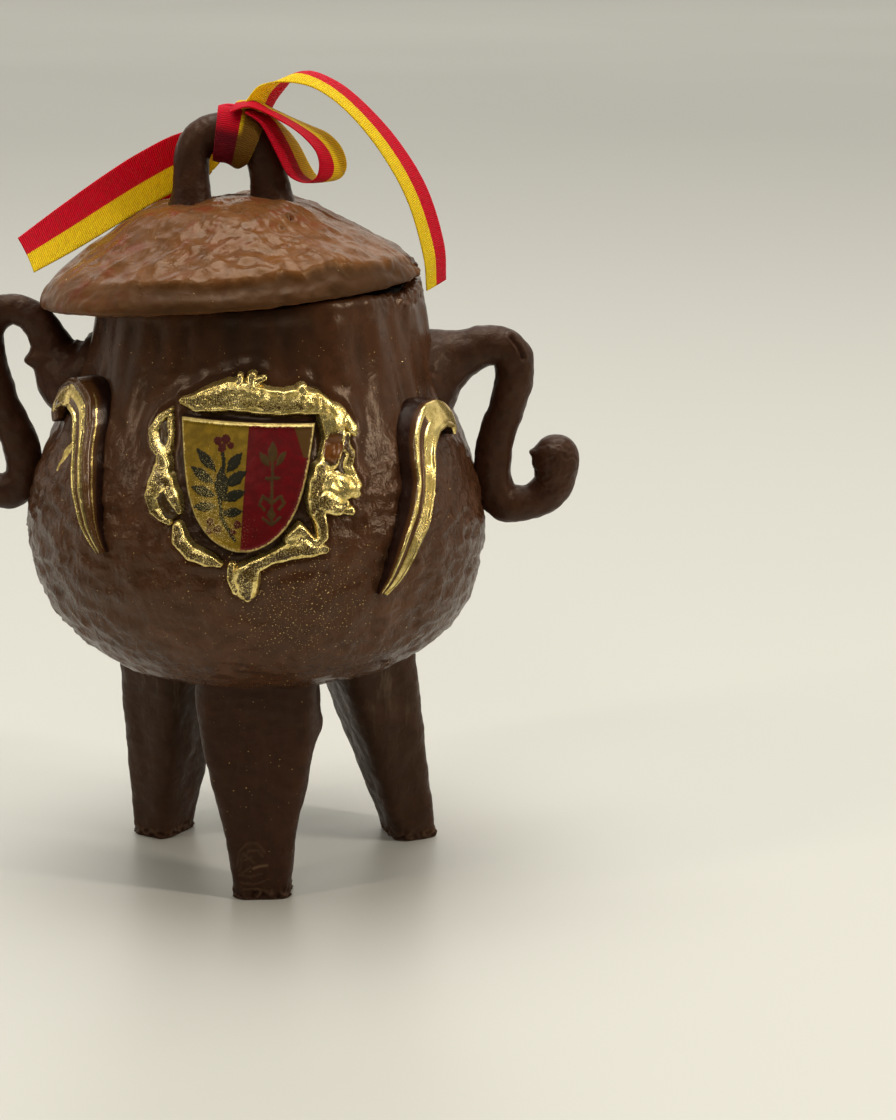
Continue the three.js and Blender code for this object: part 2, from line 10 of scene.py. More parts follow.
import bpy
import numpy as np
from bpy.props import FloatProperty, FloatVectorProperty, IntProperty, PointerProperty
from bpy.types import Operator, Panel, PropertyGroup
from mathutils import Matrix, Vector


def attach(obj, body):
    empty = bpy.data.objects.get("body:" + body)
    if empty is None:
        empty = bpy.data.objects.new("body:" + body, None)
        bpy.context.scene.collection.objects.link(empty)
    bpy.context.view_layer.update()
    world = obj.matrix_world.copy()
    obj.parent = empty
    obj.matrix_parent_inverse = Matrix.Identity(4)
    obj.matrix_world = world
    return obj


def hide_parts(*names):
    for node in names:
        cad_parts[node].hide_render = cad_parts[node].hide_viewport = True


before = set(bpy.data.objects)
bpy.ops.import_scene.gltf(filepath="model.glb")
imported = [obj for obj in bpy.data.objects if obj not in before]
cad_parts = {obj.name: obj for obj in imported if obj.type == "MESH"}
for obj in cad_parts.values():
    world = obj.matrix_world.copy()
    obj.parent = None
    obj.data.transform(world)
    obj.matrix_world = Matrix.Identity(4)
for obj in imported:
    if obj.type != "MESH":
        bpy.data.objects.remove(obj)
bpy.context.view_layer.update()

bl_info = {
    "name": "Chocolate cauldron looks",
    "version": (1, 0, 0),
    "blender": (4, 5, 0),
    "location": "View3D > Sidebar > Cauldron",
    "description": "Makes the pot, lid, handles, legs, gilt ornaments, shield and ribbon",
    "category": "Object",
}

MM = 0.001
AXIS_AT = np.array([0.063, 1.741, 0.0])  # the pot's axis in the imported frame, millimetres
NO_TRIANGLES = np.zeros((0, 3), int)
FAR = 9.0  # millimetres; further than any lobe's edge is looked for

# ---- Shape of the pot, lid and bars, as in the solids -------------------------------

POT_PROFILE = [
    (0, 52.6), (12, 52.9), (22, 53.8), (32, 56.0), (41, 59.6), (49, 65.6), (54.9, 74), (58.6, 86),
    (58.6, 97.5), (55.9, 108.5), (51.6, 119), (46.9, 129), (44.2, 138), (42.5, 146), (41.7, 151.4),
]
POT_RIM = [
    (41.7, 151.4), (41.2, 152.3), (40.4, 152.6), (39.6, 152.6), (38.6, 152.45), (37.9, 152.1),
    (37.4, 151.2), (37.3, 150.0), (36.9, 149.2), (35.9, 148.9),
]
POT_FLOOR = [(35.9, 148.9), (20, 148.9), (1.2, 148.9)]
MOUTH_Z = 152.6
MOUTH_INNER = 37.4
LID_GAP = 0.3  # between the mouth's crest and the lid
BROKEN_AT = math.radians(66)  # azimuth of the broken wall under the lid's right side
BROKEN_DEPTH = 2.0
POT_BUMP = 0.00046
# A smear of gold beside the left scroll: 0.9 times the azimuth in degrees, and the height.
SMEAR = [(-52.4, 117.4), (-53.2, 114.9), (-54.4, 111.6)]

LID_PROFILE = [
    (48.4, 0.9), (48.1, 2.2), (47.0, 3.9), (43.3, 7.7), (36.0, 12.3), (30.0, 15.9), (23.0, 20.2),
    (15.0, 22.5), (6.0, 23.5), (0, 23.6),
]
LID_AT = np.array([-6.4, 0.3, 152.7])
LID_TILT_SIDE = math.radians(4.46)
LID_TILT_BACK = math.radians(1.34)
LID_UNROLL = 34  # millimetres for each radian, where the lid's skin is worked out flat
LID_RIDGE_RADIUS = 43.6
LID_PITS = ((45, 26, 0.85, 1.1), (35, 29, 0.4, 0.4), (30, 36, 0.5, 0.3))  # degrees, radius, size, depth

ARCH_PATH = [
    (-10.3, 170.7, 5.6), (-9.9, 177.5, 4.9), (-9.8, 182.5, 4.5), (-9.2, 187.3, 4.5),
    (-7.3, 190.8, 4.6), (-4.0, 192.5, 4.6), (0.8, 192.8, 4.6), (5.3, 191.0, 4.6),
    (8.2, 187.0, 4.6), (9.7, 181.8, 4.9), (10.3, 176.7, 5.4), (10.5, 171.2, 6.2),
]
ARCH_AT_X = -5.9
ARCH_TURN = math.radians(5)
BAR_STEPS = 2000

HANDLE_RIGHT_PATH = [
    (43.0, 131.4, 9.8), (48.5, 134.2, 7.8), (54.0, 136.4, 6.3), (59.3, 138.0, 5.3),
    (63.4, 137.8, 5.2), (65.8, 135.2, 5.2), (66.3, 131.3, 5.2), (65.8, 127.1, 5.0),
    (64.4, 121.6, 4.7), (62.2, 115.6, 4.7), (61.0, 109.4, 4.8), (60.9, 103.3, 5.0),
    (62.8, 98.2, 5.1), (67.4, 96.6, 4.6), (72.2, 97.4, 4.6), (76.2, 101.0, 5.2),
    (77.4, 105.4, 5.9), (77.1, 108.7, 6.1), (77.0, 110.7, 5.8), (76.8, 112.4, 4.9),
    (76.6, 113.8, 3.3), (76.5, 114.7, 0.9),
]
HANDLE_LEFT_PATH = [
    (-40.0, 128.6, 10.6), (-47.6, 131.6, 9.9), (-51.6, 136.0, 6.6), (-53.2, 140.0, 5.0),
    (-54.9, 143.2, 4.4), (-57.6, 146.0, 4.0), (-60.2, 147.3, 4.0), (-62.9, 147.6, 4.0),
    (-66.3, 146.0, 4.2), (-68.5, 142.7, 4.3), (-69.1, 138.3, 4.5), (-68.5, 131.8, 4.7),
    (-66.7, 125.3, 4.7), (-64.4, 119.2, 4.7), (-62.2, 113.4, 4.7), (-61.0, 107.6, 4.7),
    (-61.4, 102.8, 4.9), (-64.6, 100.4, 4.8), (-68.5, 100.2, 4.5), (-73.0, 101.4, 4.6),
    (-77.0, 104.8, 5.2), (-78.2, 110.0, 5.5), (-74.9, 113.2, 4.1), (-70.9, 113.4, 0.9),
]
HANDLE_DEPTH = 0.92
RIGHT_SCAR = [(65.4, 0, 141.0), (67.2, 0, 138.6), (68.4, 0, 135.6)]
RIGHT_KNOB = (77.0, 0, 106.6)
RIGHT_TIP = (70.4, 0, 110.6)
RIGHT_SWELLING = (64.4, 0, 94.2)
LEFT_DRIP = (-57.6, 0, 134.8)

LEG_TOP_Z = 62
LEG_SQUARENESS = 4.4
LEGS = {
    "leg_front": {"foot": (1.25, -29), "top": (0.3, -21.5), "half": [7.3, 9.2, 12.7, 15.4, 15.6]},
    "leg_left": {"foot": (-29.3, 18), "top": (-23.6, 14), "half": [7.3, 9.4, 11.3, 13.2, 15.0]},
    "leg_right": {"foot": (38.6, 16), "top": (24.2, 10), "half": [7.3, 9.9, 12.4, 14.8, 17.2]},
}
LEG_BULGE = (15.4, -24, 44.5)
# Marks on the front leg, as (x, height).
SCRATCHES = [
    [(-5.0, 9.0), (-4.2, 13.0), (-2.2, 15.2), (0.6, 15.4), (2.4, 13.0)],
    [(-4.2, 8.0), (-3.4, 11.6), (-1.6, 13.4), (0.6, 13.4), (1.8, 11.8)],
    [(-3.6, 10.6), (-1.0, 11.6)], [(-3.0, 12.6), (-0.4, 10.2)], [(-4.4, 6.6), (-1.2, 9.0)],
    [(-3.8, 6.8), (-1.4, 6.4), (1.6, 7.2)], [(-4.0, 4.8), (-0.6, 4.4), (2.4, 5.2)],
    [(-3.2, 3.0), (0.4, 3.2), (3.2, 2.4)],
]
NICK = [(-0.6, 8.6), (1.2, 9.2), (2.9, 9.4)]

# The scrolls' middle lines as (azimuth in degrees, height).
SCROLL_LINES = {
    "scroll_right": [
        (33.6, 85.0), (36.5, 90.0), (39.8, 97.2), (43.4, 104.0), (46.2, 110.4), (48.0, 116.0),
        (49.8, 120.6), (53.6, 124.0), (58.8, 125.4), (64.0, 124.8), (67.8, 122.6), (69.0, 119.4),
    ],
    "scroll_left": [
        (-34.8, 95.3), (-38.0, 101.1), (-40.6, 107.6), (-42.9, 113.4), (-45.6, 119.4),
        (-48.0, 124.6), (-51.2, 128.6), (-56.8, 130.8), (-63.2, 130.4), (-68.8, 128.4),
        (-71.2, 125.4), (-69.4, 122.4),
    ],
}
SCROLL_WIDTHS = [1.6, 3.2, 4.3, 4.7, 5.0, 5.8, 6.8, 7.0, 6.8, 6.0, 4.6, 2.0]
SCROLL_RELIEF = [2.0, 3.6, 5.0, 5.8, 6.0, 6.2, 6.3, 6.4, 6.2, 5.4, 4.4, 3.0]
SCROLL_SPREAD = 56  # millimetres for each radian, where the scrolls are worked out flat
SCROLL_FACE_STEPS = 54
SCROLL_WALL_STEPS = 10

SHIELD_TOP = (1.15, 128.1)
SHIELD_FOOT = (0.5, 98.3)
SHIELD_HALF_WIDTH = 15.9
SHIELD_RELIEF = 2.6
SHIELD_LOW_END = 0.995  # share of the way down where the outline's tip is closed

# The painting on the shield, as (x, height): leaves and petals have a middle, half length
# and half width, and a turn; berries a middle and a radius.
SPRIG_STEM = [(-1.5, 101.6), (-4.4, 106.5), (-5.2, 112.0), (-4.0, 118.5), (-4.6, 122.2)]
SPRIG_LEAVES = [
    ((-8.4, 119.6), (3.9, 1.25), 2.35), ((-9.2, 116.2), (3.9, 1.2), 2.6),
    ((-9.0, 112.6), (3.6, 1.2), 2.85), ((-8.6, 109.2), (3.2, 1.1), 3.2),
    ((-1.6, 119.2), (3.2, 1.3), 0.9), ((-1.2, 115.6), (3.4, 1.4), 0.6),
    ((-1.6, 111.8), (3.3, 1.3), 0.35), ((-2.0, 108.0), (2.9, 1.1), 0.1),
    ((-4.6, 114.2), (4.4, 1.7), 1.6),
]
SPRIG_BERRIES = [
    ((-5.6, 123.9), 1.05), ((-3.7, 124.3), 1.1), ((-4.6, 122.4), 1.0), ((-2.6, 122.9), 0.8),
    ((-7.2, 105.6), 1.0), ((-5.6, 104.1), 1.1), ((-7.6, 103.6), 0.8), ((-0.8, 105.2), 0.95),
    ((-1.8, 103.5), 0.8),
]
BUD_STEMS = [
    [(7.2, 105.2), (7.4, 119.0)],
    [(7.3, 110.0), (5.2, 111.6), (4.4, 109.8), (5.6, 108.6)],
    [(7.3, 110.0), (9.4, 111.6), (10.2, 109.8), (9.0, 108.6)],
    [(5.2, 106.6), (7.2, 105.0), (9.2, 106.6)],
    [(6.0, 115.6), (8.8, 115.6)],
]
BUD_PETALS = [
    ((7.4, 121.2), (2.9, 1.15), 1.57), ((5.5, 119.9), (2.3, 0.8), 2.2),
    ((9.3, 119.9), (2.3, 0.8), 0.94), ((7.2, 107.4), (1.5, 1.0), 1.57),
]

# The cartouche's cast lobes: points along each as (x, height, half width, share of relief).
CARTOUCHE_RELIEF = 3.7
CARTOUCHE_ACROSS = (-25, 30.5)
CARTOUCHE_UPWARDS = (84.5, 141)
CARTOUCHE_LOBES = [
    [(-15.6, 132.0, 0.9, 0.5), (-11.3, 132.0, 2.5, 0.8), (-7.3, 133.2, 3.3, 0.9),
     (-3, 134.0, 4.0, 1), (1.2, 133.7, 4.0, 1), (5.3, 132.6, 3.4, 0.9), (9.9, 132.1, 3.1, 0.85),
     (14.4, 132.4, 3.3, 1), (17.4, 131.7, 2.9, 0.9)],
    [(-1.1, 136.8, 1.1, 0.8), (-0.6, 138.3, 0.9, 0.7)],
    [(1.9, 136.1, 1.4, 0.9), (2.4, 138.6, 1.1, 0.8)],
    [(3.4, 137.2, 0.8, 0.6), (5.5, 137.8, 0.6, 0.6)],
    [(14.2, 135, 1.4, 0.9), (14.8, 135.6, 0.9, 0.8)],
    [(18.5, 132.2, 1.7, 0.8), (21.8, 128.1, 3.5, 1), (22.3, 124.7, 2.9, 0.9)],
    [(24.8, 127.8, 1.2, 0.7), (26.5, 125.5, 1.2, 0.8), (27.3, 124, 0.8, 0.7)],
    [(25.3, 123.9, 0.9, 0.6), (25.1, 121.8, 1.1, 0.6), (26.3, 120, 1.2, 0.7),
     (25.8, 117.2, 1.2, 0.7), (26.7, 114.7, 1.2, 0.7), (28, 112.4, 1.2, 0.8)],
    [(22.3, 123.4, 2.7, 0.6), (22.0, 121.0, 2.9, 0.55), (21.4, 118.6, 2.8, 0.6)],
    [(19.2, 116.7, 2, 0.8), (18.3, 113.3, 2.6, 0.9), (17.8, 110.5, 2.3, 0.9),
     (17.7, 107.6, 1.5, 0.7)],
    [(21.3, 113.8, 2.6, 0.9), (25.1, 112, 3, 1), (27.5, 110.5, 1.4, 0.8)],
    [(19.9, 109.6, 2.9, 1), (23.3, 107.9, 2.3, 0.9), (25.1, 108.3, 1.2, 0.7)],
    [(25.2, 106.7, 0.9, 0.6), (26.8, 106.7, 1.1, 0.7)],
    [(18.8, 106.8, 2, 0.8), (19.6, 103.9, 1.5, 0.8), (19.8, 101.3, 1.4, 0.75),
     (18.4, 99.5, 1.1, 0.7)],
    [(17.7, 99.7, 1.1, 0.7), (15.8, 102, 1.1, 0.75), (13.9, 103.2, 1.4, 0.85),
     (12, 101.1, 1.7, 0.85)],
    [(20.6, 97.8, 0.9, 0.6), (18.1, 98.5, 1.8, 0.85), (14.3, 98.8, 2.6, 0.95),
     (10.5, 98, 2.3, 0.9), (6.7, 96.5, 1.7, 0.8), (2.9, 94.7, 2.2, 0.85), (1.0, 92, 3.8, 1),
     (1.1, 89.2, 3.0, 0.9), (1.3, 87.0, 1.2, 0.5)],
    [(-2.4, 95.1, 0.9, 0.6), (-2.7, 92, 1.1, 0.65), (-1.5, 88.9, 1.1, 0.65)],
    [(-15.6, 103.9, 1.4, 0.75), (-15.2, 101, 2.1, 0.9), (-12.3, 98, 2.1, 0.95),
     (-8.5, 96.5, 1.8, 0.9), (-5.2, 95.4, 0.9, 0.6)],
    [(-18.6, 130, 0.5, 0.5), (-20.7, 128.1, 1.1, 0.7), (-22.9, 125.1, 1.1, 0.8),
     (-22.4, 122.2, 1.4, 0.85), (-20.3, 120.3, 1.5, 0.85), (-19.7, 117.6, 2, 0.9)],
    [(-18.8, 128.4, 0.5, 0.5), (-18.2, 124.6, 0.7, 0.6), (-18.7, 120.9, 0.8, 0.6)],
    [(-20.1, 116.6, 2.3, 0.95), (-20.8, 113.4, 2.7, 1), (-22.5, 110.5, 1.8, 0.9),
     (-22.1, 107.3, 1.2, 0.75), (-19.8, 105.4, 0.8, 0.6), (-18, 104.6, 0.6, 0.5)],
    [(-18.6, 114.2, 1.8, 0.9), (-16.5, 110.5, 1.4, 0.85), (-15.4, 107.4, 0.9, 0.7)],
]
# Its brown hollows, between the gilt lobes.
CARTOUCHE_HOLLOWS = [
    [(-20.3, 126.0, 1.8, 0.45), (-20.4, 121.6, 1.9, 0.5)],
    [(-19.6, 113.6, 2.2, 0.7), (-19.2, 110.4, 2.9, 0.66), (-18.0, 107.2, 2.2, 0.55)],
    [(16.6, 99.9, 1.9, 0.6), (13.4, 100.2, 2.2, 0.7)],
    [(24.0, 118.6, 1.9, 0.4), (24.2, 115.6, 1.9, 0.5)],
]

# The ribbon's strips: lines along its near edge, its middle and its far edge.
RIBBON_WIDTH = 13.0
RIBBON_STRIPS = [
    {
        "near": [
            (-3.0, 6.2, 193.2), (-9.0, 7.6, 193.4), (-19.4, 6.6, 191.6), (-28.9, 5.5, 187.1),
            (-37.7, 4.6, 181.7), (-49.7, 3.6, 173.4), (-60.6, 2.6, 165.4),
        ],
        "middle": [
            (-4.0, 5.9, 189.5), (-9.7, 7.8, 186.6), (-18.2, 6.7, 184.7), (-26.3, 4.7, 180.7),
            (-34.7, 2.9, 175.8), (-47.3, 0.4, 168.0), (-57.7, -2.1, 161.7),
        ],
        "far": [
            (-6.8, 5.6, 187.4), (-11.4, 8.0, 181.8), (-17.0, 6.8, 178.8), (-23.7, 3.9, 175.4),
            (-31.8, 1.2, 170.9), (-44.9, -2.8, 163.4), (-55.4, -6.8, 158.0),
        ],
        "near_is_red": True,
    },
    {
        "near": [
            (-10.6, 7.9, 187.0), (-12.0, 9.4, 184.6), (-14.2, 9.4, 181.9), (-17.8, 9.0, 179.4),
            (-21.5, 8.5, 177.0), (-25.1, 8.0, 174.5), (-29.2, 7.8, 171.7),
        ],
        "middle": [
            (-11.0, 8.6, 184.4), (-12.6, 12.0, 182.0), (-14.0, 13.4, 179.6), (-17.4, 13.8, 177.4),
            (-21.0, 13.8, 175.2), (-24.6, 13.6, 172.8), (-28.7, 13.6, 170.0),
        ],
        "far": [
            (-11.4, 9.4, 181.6), (-13.0, 14.6, 179.4), (-13.6, 17.4, 177.2), (-16.8, 18.4, 175.2),
            (-20.4, 18.8, 173.0), (-24.0, 19.0, 170.4), (-28.0, 19.0, 167.4),
        ],
        "near_is_red": True,
    },
    {
        "near": [
            (-5.1, -6.0, 197.9), (-1.0, -6.0, 199.2), (2.5, -6.0, 198.4), (6.4, -6.0, 196.4),
            (10.4, -6.0, 194.1), (13.8, -6.0, 191.3), (16.4, -6.0, 188.0), (17.1, -6.0, 184.6),
            (16.2, -6.0, 181.6), (13.7, -6.0, 180.5), (10.8, -6.0, 181.3), (8.7, -6.0, 183.2),
            (5.5, -6.0, 189.6), (2.5, -6.0, 195.1), (-1.3, -6.0, 197.9),
        ],
        "middle": [
            (-3.9, -0.6, 199.8), (0.6, -0.6, 200.2), (4.6, -0.6, 198.1), (8.1, -0.6, 196.4),
            (12.1, -0.6, 194.1), (16.1, -0.6, 191.3), (19.0, -0.6, 188.0), (20.4, -0.6, 184.1),
            (19.5, -0.6, 181.2), (16.5, -0.6, 180.0), (13.9, -0.6, 181.0), (11.9, -0.6, 183.2),
            (8.9, -0.6, 189.8), (5.0, -0.6, 195.8), (0.3, -0.6, 198.0),
        ],
        "far": [
            (-2.9, 5.0, 199.9), (1.2, 5.0, 199.6), (5.2, 5.0, 197.8), (9.7, 5.0, 195.7),
            (14.3, 5.0, 193.7), (18.8, 5.0, 191.7), (22.1, 5.0, 188.3), (23.4, 5.0, 184.0),
            (22.2, 5.0, 180.9), (19.2, 5.0, 179.8), (16.3, 5.0, 180.6), (14.2, 5.0, 183.4),
            (10.9, 5.0, 189.6), (6.4, 5.0, 194.5), (1.1, 5.0, 196.7),
        ],
        "near_is_red": True,
    },
    {
        "near": [
            (-2.8, -2.0, 197.6), (-0.7, -2.0, 201.1), (2.6, -2.0, 204.3), (9.3, -2.0, 205.1),
            (16.8, -2.0, 203.2), (24.7, -2.0, 197.1), (32.7, -2.0, 187.2), (39.2, -2.0, 175.2),
            (43.1, -2.0, 161.5), (43.9, -2.0, 152.6),
        ],
        "middle": [
            (0.6, 4.0, 193.2), (2.3, 4.0, 197.8), (5.0, 4.0, 202.9), (10.9, 4.0, 206.7),
            (18.5, 4.0, 204.2), (26.3, 4.0, 198.0), (34.6, 4.0, 188.2), (41.2, 4.0, 176.5),
            (45.5, 4.0, 162.8), (46.2, 4.0, 153.1),
        ],
        "far": [
            (2.1, 10.0, 191.6), (3.6, 10.0, 196.3), (6.8, 10.0, 201.6), (12.7, 10.0, 206.9),
            (20.6, 10.0, 204.6), (28.4, 10.0, 198.5), (36.9, 10.0, 188.9), (43.9, 10.0, 177.2),
            (48.1, 10.0, 163.5), (48.7, 10.0, 153.8),
        ],
        "near_is_red": False,
    },
]
# The knot's top and bottom edge round the grip, from left to right, along the grip's plane.
KNOT_TOP = [(-2.6, 198.6), (0.0, 199.2), (3.6, 198.6), (6.6, 197.0), (8.9, 194.6)]
KNOT_BOTTOM = [(-4.2, 186.0), (-2.0, 184.9), (0.4, 184.2), (2.4, 183.8), (4.0, 184.2)]
KNOT_HALF_DEPTH = 6.2
KNOT_SHADE_AT = (-3, 3, 192)
WEAVE_UV = "along_and_across"
RIBS_PER_WIDTH = 26
THREADS_ACROSS = 38

# Colours of single marks and shades.
# A dark melt seam with painted shade round the pot's ornaments, and painted shadow and fold shade on its
# neck.
SEAM_AND_SHADE_BROWN = (0.0235, 0.0122, 0.0074, 1)
LID_REDDENED = (0.155, 0.036, 0.012, 1)
# Painted shade in the lid's pits.
LID_PIT_SHADE = (0.05, 0.010, 0.006, 1)
LEG_STREAK = (0.10, 0.065, 0.042, 1)
LEG_SCUFF = (0.17, 0.10, 0.055, 1)
SCROLL_GROOVE = (0.085, 0.034, 0.011, 1)
CARTOUCHE_BROWN = (0.060, 0.031, 0.006, 1)
CARTOUCHE_AMBER = (0.14, 0.045, 0.008, 1)
DEEP_GOLD = (0.50, 0.37, 0.09, 1)
FLAKE_GOLD = (1.0, 0.70, 0.28, 1)
FLAKE_DEEP_GOLD = (0.55, 0.32, 0.09, 1)
BUD_DARK = (0.020, 0.010, 0.004, 1)
BUD_PALE = (0.085, 0.048, 0.014, 1)
SHIELD_CORNER = (0.075, 0.036, 0.008, 1)
# Painted shade colours of the ribbon's two halves.
RIBBON_RED_SHADE = (0.088, 0.004, 0.010, 1)
RIBBON_YELLOW_SHADE = (0.092, 0.029, 0.007, 1)
RIBBON_SLUB = (0.10, 0.04, 0.02, 1)
ROOM_DARK = (0.030, 0.027, 0.022, 1)
ROOM_BRIGHT = (1.0, 0.945, 0.83, 1)
# Tints of the reflections.
CHOCOLATE_TINT = (1.0, 0.80, 0.62, 1)
LID_TINT = (1.0, 0.70, 0.44, 1)
ICING_TINT = (1.0, 0.85, 0.65, 1)

CAMERA_AT = (0.04936, -0.65986, 0.2487)
CAMERA_DOWN = math.radians(14.2)
FOCAL_PIXELS = 2600
PICTURE_HEIGHT = 1120
SENSOR_HEIGHT = 24
# name, place, aim, size, power and colour
LIGHTS = [
    ("key softbox", (-0.04, 0.15, 1.9), (0, 0, 0.12), (1.4, 1.4), 33, (1.0, 0.98, 0.93)),
    ("front fill", (-0.25, -1.4, 1.3), (0, 0, 0.12), (0.5, 0.4), 3.4, (1.0, 0.95, 0.86)),
    ("left strip", (-0.9, -0.5, 0.9), (0, 0, 0.1), (0.07, 0.6), 2.6, (1.0, 0.90, 0.76)),
    ("right strip", (0.9, -0.35, 0.7), (0, 0, 0.1), (0.07, 0.6), 4.5, (1.0, 0.90, 0.76)),
    ("far floor light", (0, 5.0, 3.0), (0, 5.0, 0), (6, 4), 74, (0.99, 0.985, 0.94)),
]


# ---- Sizes and colours that a user would change --------------------------------------


def length(name, description, default):
    return FloatProperty(name=name, description=description, default=default, unit="LENGTH", precision=5)


def tint(name, description, default):
    return FloatVectorProperty(
        name=name, description=description, default=default, subtype="COLOR", size=3, min=0, max=1
    )


class CauldronSizes(PropertyGroup):
    pot_skin: length("Pot skin", "Height of the crumpled skin on the pot's belly", 0.00042)
    neck_skin: length("Neck skin", "Height of the soft upright folds on the pot's neck", 0.0013)
    lid_skin: length("Lid skin", "Height of the lumps on the lid", 0.00072)
    lid_ridge: length("Lid ridge", "Height of the wavy ridge above the lid's rim", 0.0010)
    bar_skin: length("Handle skin", "Height of the lumps on handles and grip", 0.00030)
    foot_chips: length("Foot chips", "Height of the chips round the feet", 0.00090)
    ribbon_thickness: length("Ribbon thickness", "Thickness of the ribbon", 0.00035)
    flakes: IntProperty(name="Gold flakes", description="How many gold flakes lie about", default=1900)


class CauldronColours(PropertyGroup):
    pot: tint("Pot", "Brushed milk chocolate", (0.071, 0.028, 0.012))
    lid: tint("Lid", "Wet-looking milk chocolate of the lid", (0.151, 0.060, 0.0180))
    dark: tint("Legs and handles", "Dull moulded chocolate", (0.040, 0.0145, 0.007))
    gloss: tint("Scrolls", "Dark chocolate of the scrolls", (0.020, 0.008, 0.006))
    gold: tint("Gold", "Edible gold", (1.0, 0.80, 0.31))
    yellow_icing: tint("Yellow icing", "Left field of the shield", (0.205, 0.124, 0.008))
    red_icing: tint("Red icing", "Right field of the shield", (0.100, 0.0030, 0.005))
    leaf: tint("Leaf", "Dark sprig on the yellow field", (0.010, 0.011, 0.006))
    berry: tint("Berry", "Berries on the yellow field", (0.055, 0.006, 0.006))
    ribbon_red: tint("Ribbon red", "Red half of the ribbon", (0.62, 0.0, 0.018))
    ribbon_yellow: tint("Ribbon yellow", "Yellow half of the ribbon", (1.0, 0.59, 0.008))
    floor: tint("Floor", "Pale floor", (0.575, 0.575, 0.53))


# ---- Working with curves, fields and grids -------------------------------------------


def spline(points, shares, loose=False):
    """Uniform Catmull-Rom curve through evenly spaced points, at shares 0..1 of their row.
    Each span is the cubic with the slopes (next - before) / 2 at its ends. The end points
    are doubled, or continued in a straight line if loose."""
    points = np.asarray(points, float)
    before, after = (2 * points[0] - points[1], 2 * points[-1] - points[-2]) if loose else points[[0, -1]]
    points = np.vstack([before, points, after])
    spans = len(points) - 3
    at = np.clip(np.asarray(shares, float), 0, 1) * spans
    first = np.minimum(at.astype(int), spans - 1)
    w = (at - first)[..., None]
    a, b, c, d = (points[first + k] for k in range(4))
    slope_b, slope_c = (c - a) / 2, (d - b) / 2
    cubic = 2 * b - 2 * c + slope_b + slope_c
    square = 3 * c - 3 * b - 2 * slope_b - slope_c
    return ((cubic * w + square) * w + slope_b) * w + b


def directions(curve):
    """Unit tangents along a row of points: the difference of the neighbours, normalised."""
    along = np.gradient(curve, axis=0)
    return along / np.linalg.norm(along, axis=-1, keepdims=True)


def run_of(points):
    """How far along a line of points each one is."""
    return np.concatenate([[0], np.cumsum(np.linalg.norm(np.diff(points, axis=0), axis=-1))])


def evenly(points, count):
    """The same line, resampled at even steps of its length."""
    points = np.asarray(points, float)
    run = run_of(points)
    at = np.linspace(0, run[-1], count)
    return np.stack([np.interp(at, run, column) for column in points.T], axis=-1)


def smooth(low, high, value):
    """0 below low, 1 above high, and 3w^2 - 2w^3 between."""
    w = np.clip((value - low) / (high - low), 0, 1)
    return w * w * (3 - 2 * w)


def bell(value, middle, spread):
    """exp(-((value - middle) / spread)^2)."""
    return np.exp(-(((value - middle) / spread) ** 2))


def near(points, middle, spread):
    """A bell of the distance from a point."""
    return bell(np.linalg.norm(points - middle, axis=-1), 0, spread)


def hashed(cells, seed):
    """A repeatable number from -1 to 1 for each cell of whole numbers."""
    n = cells.astype(np.int64).astype(np.uint64)
    mixed = n[..., 0] * np.uint64(73856093) ^ n[..., 1] * np.uint64(19349663)
    mixed = mixed ^ n[..., 2] * np.uint64(83492791) ^ np.uint64(seed * 2654435761)
    for shift, factor in ((13, 1274126177), (16, 2246822519), (15, 3266489917)):
        mixed = (mixed ^ (mixed >> np.uint64(shift))) * np.uint64(factor) & np.uint64(0xFFFFFFFF)
    return mixed.astype(float) / 2147483647.5 - 1


def lumps(points, size, seed, octaves=1):
    """Smooth random field of about -1 to 1 with lumps of a given size: every corner of a
    cubic lattice holds a random slope, and the slopes' heights are blended by
    6w^5 - 15w^4 + 10w^3. Each further octave is half as large and half as high."""
    total = 0.0
    for octave in range(octaves):
        at = np.asarray(points, float) / (size / 2**octave)
        base = np.floor(at)
        offset = at - base
        blend = offset**3 * (offset * (offset * 6 - 15) + 10)
        level = 0.0
        for corner in np.ndindex(2, 2, 2):
            cell = base + corner
            slope = np.stack([hashed(cell, seed + octave * 7 + k) for k in (1, 2, 3)], axis=-1)
            weight = np.prod(np.where(corner, blend, 1 - blend), axis=-1)
            level = level + weight * np.sum(slope * (offset - corner), axis=-1)
        total = total + 1.5 * level / 2**octave
    return total


def ridged(points, size, seed):
    """Smooth hollows between narrow ridges: 0.6 less 2.4 times the field's distance from 0."""
    return 0.6 - 2.4 * np.abs(lumps(points, size, seed))


def normals_of(grid):
    """Unit normals of rings of points: the cross product of the differences round and along,
    turned away from the middle of each ring."""
    across = np.roll(grid, -1, axis=1) - np.roll(grid, 1, axis=1)
    normals = np.cross(across, np.gradient(grid, axis=0))
    normals /= np.linalg.norm(normals, axis=-1, keepdims=True) + 1e-12
    outwards = np.sum(normals * (grid - grid.mean(axis=1, keepdims=True)))
    return normals if outwards >= 0 else -normals


def raised(grid, relief):
    """Rings of points moved along their normals by a height in millimetres."""
    return grid + normals_of(grid) * relief[..., None]


def distance_to_line(points, line):
    """Distance from each point to the nearest of a line's straight spans."""
    best = np.full(points.shape[:-1], np.inf)
    for start, end in zip(line[:-1], line[1:]):
        start, along = np.asarray(start, float), np.asarray(end, float) - start
        share = np.clip((points - start) @ along / (along @ along + 1e-12), 0, 1)
        best = np.minimum(best, np.linalg.norm(points - start - share[..., None] * along, axis=-1))
    return best


def flat_points(x, z):
    """Points of the front view, with no depth, for the random fields."""
    return np.stack([x, z, 0 * x], axis=-1)


# ---- Meshes ---------------------------------------------------------------------------


def grid_faces(rows, columns, around=True):
    """Four-cornered faces of a grid of points; the last column meets the first if around."""
    r = np.arange(rows - 1)[:, None]
    c = np.arange(columns if around else columns - 1)[None, :]
    after = (c + 1) % columns
    corners = [r * columns + c, r * columns + after, (r + 1) * columns + after, (r + 1) * columns + c]
    return np.stack(corners, axis=-1).reshape(-1, 4)


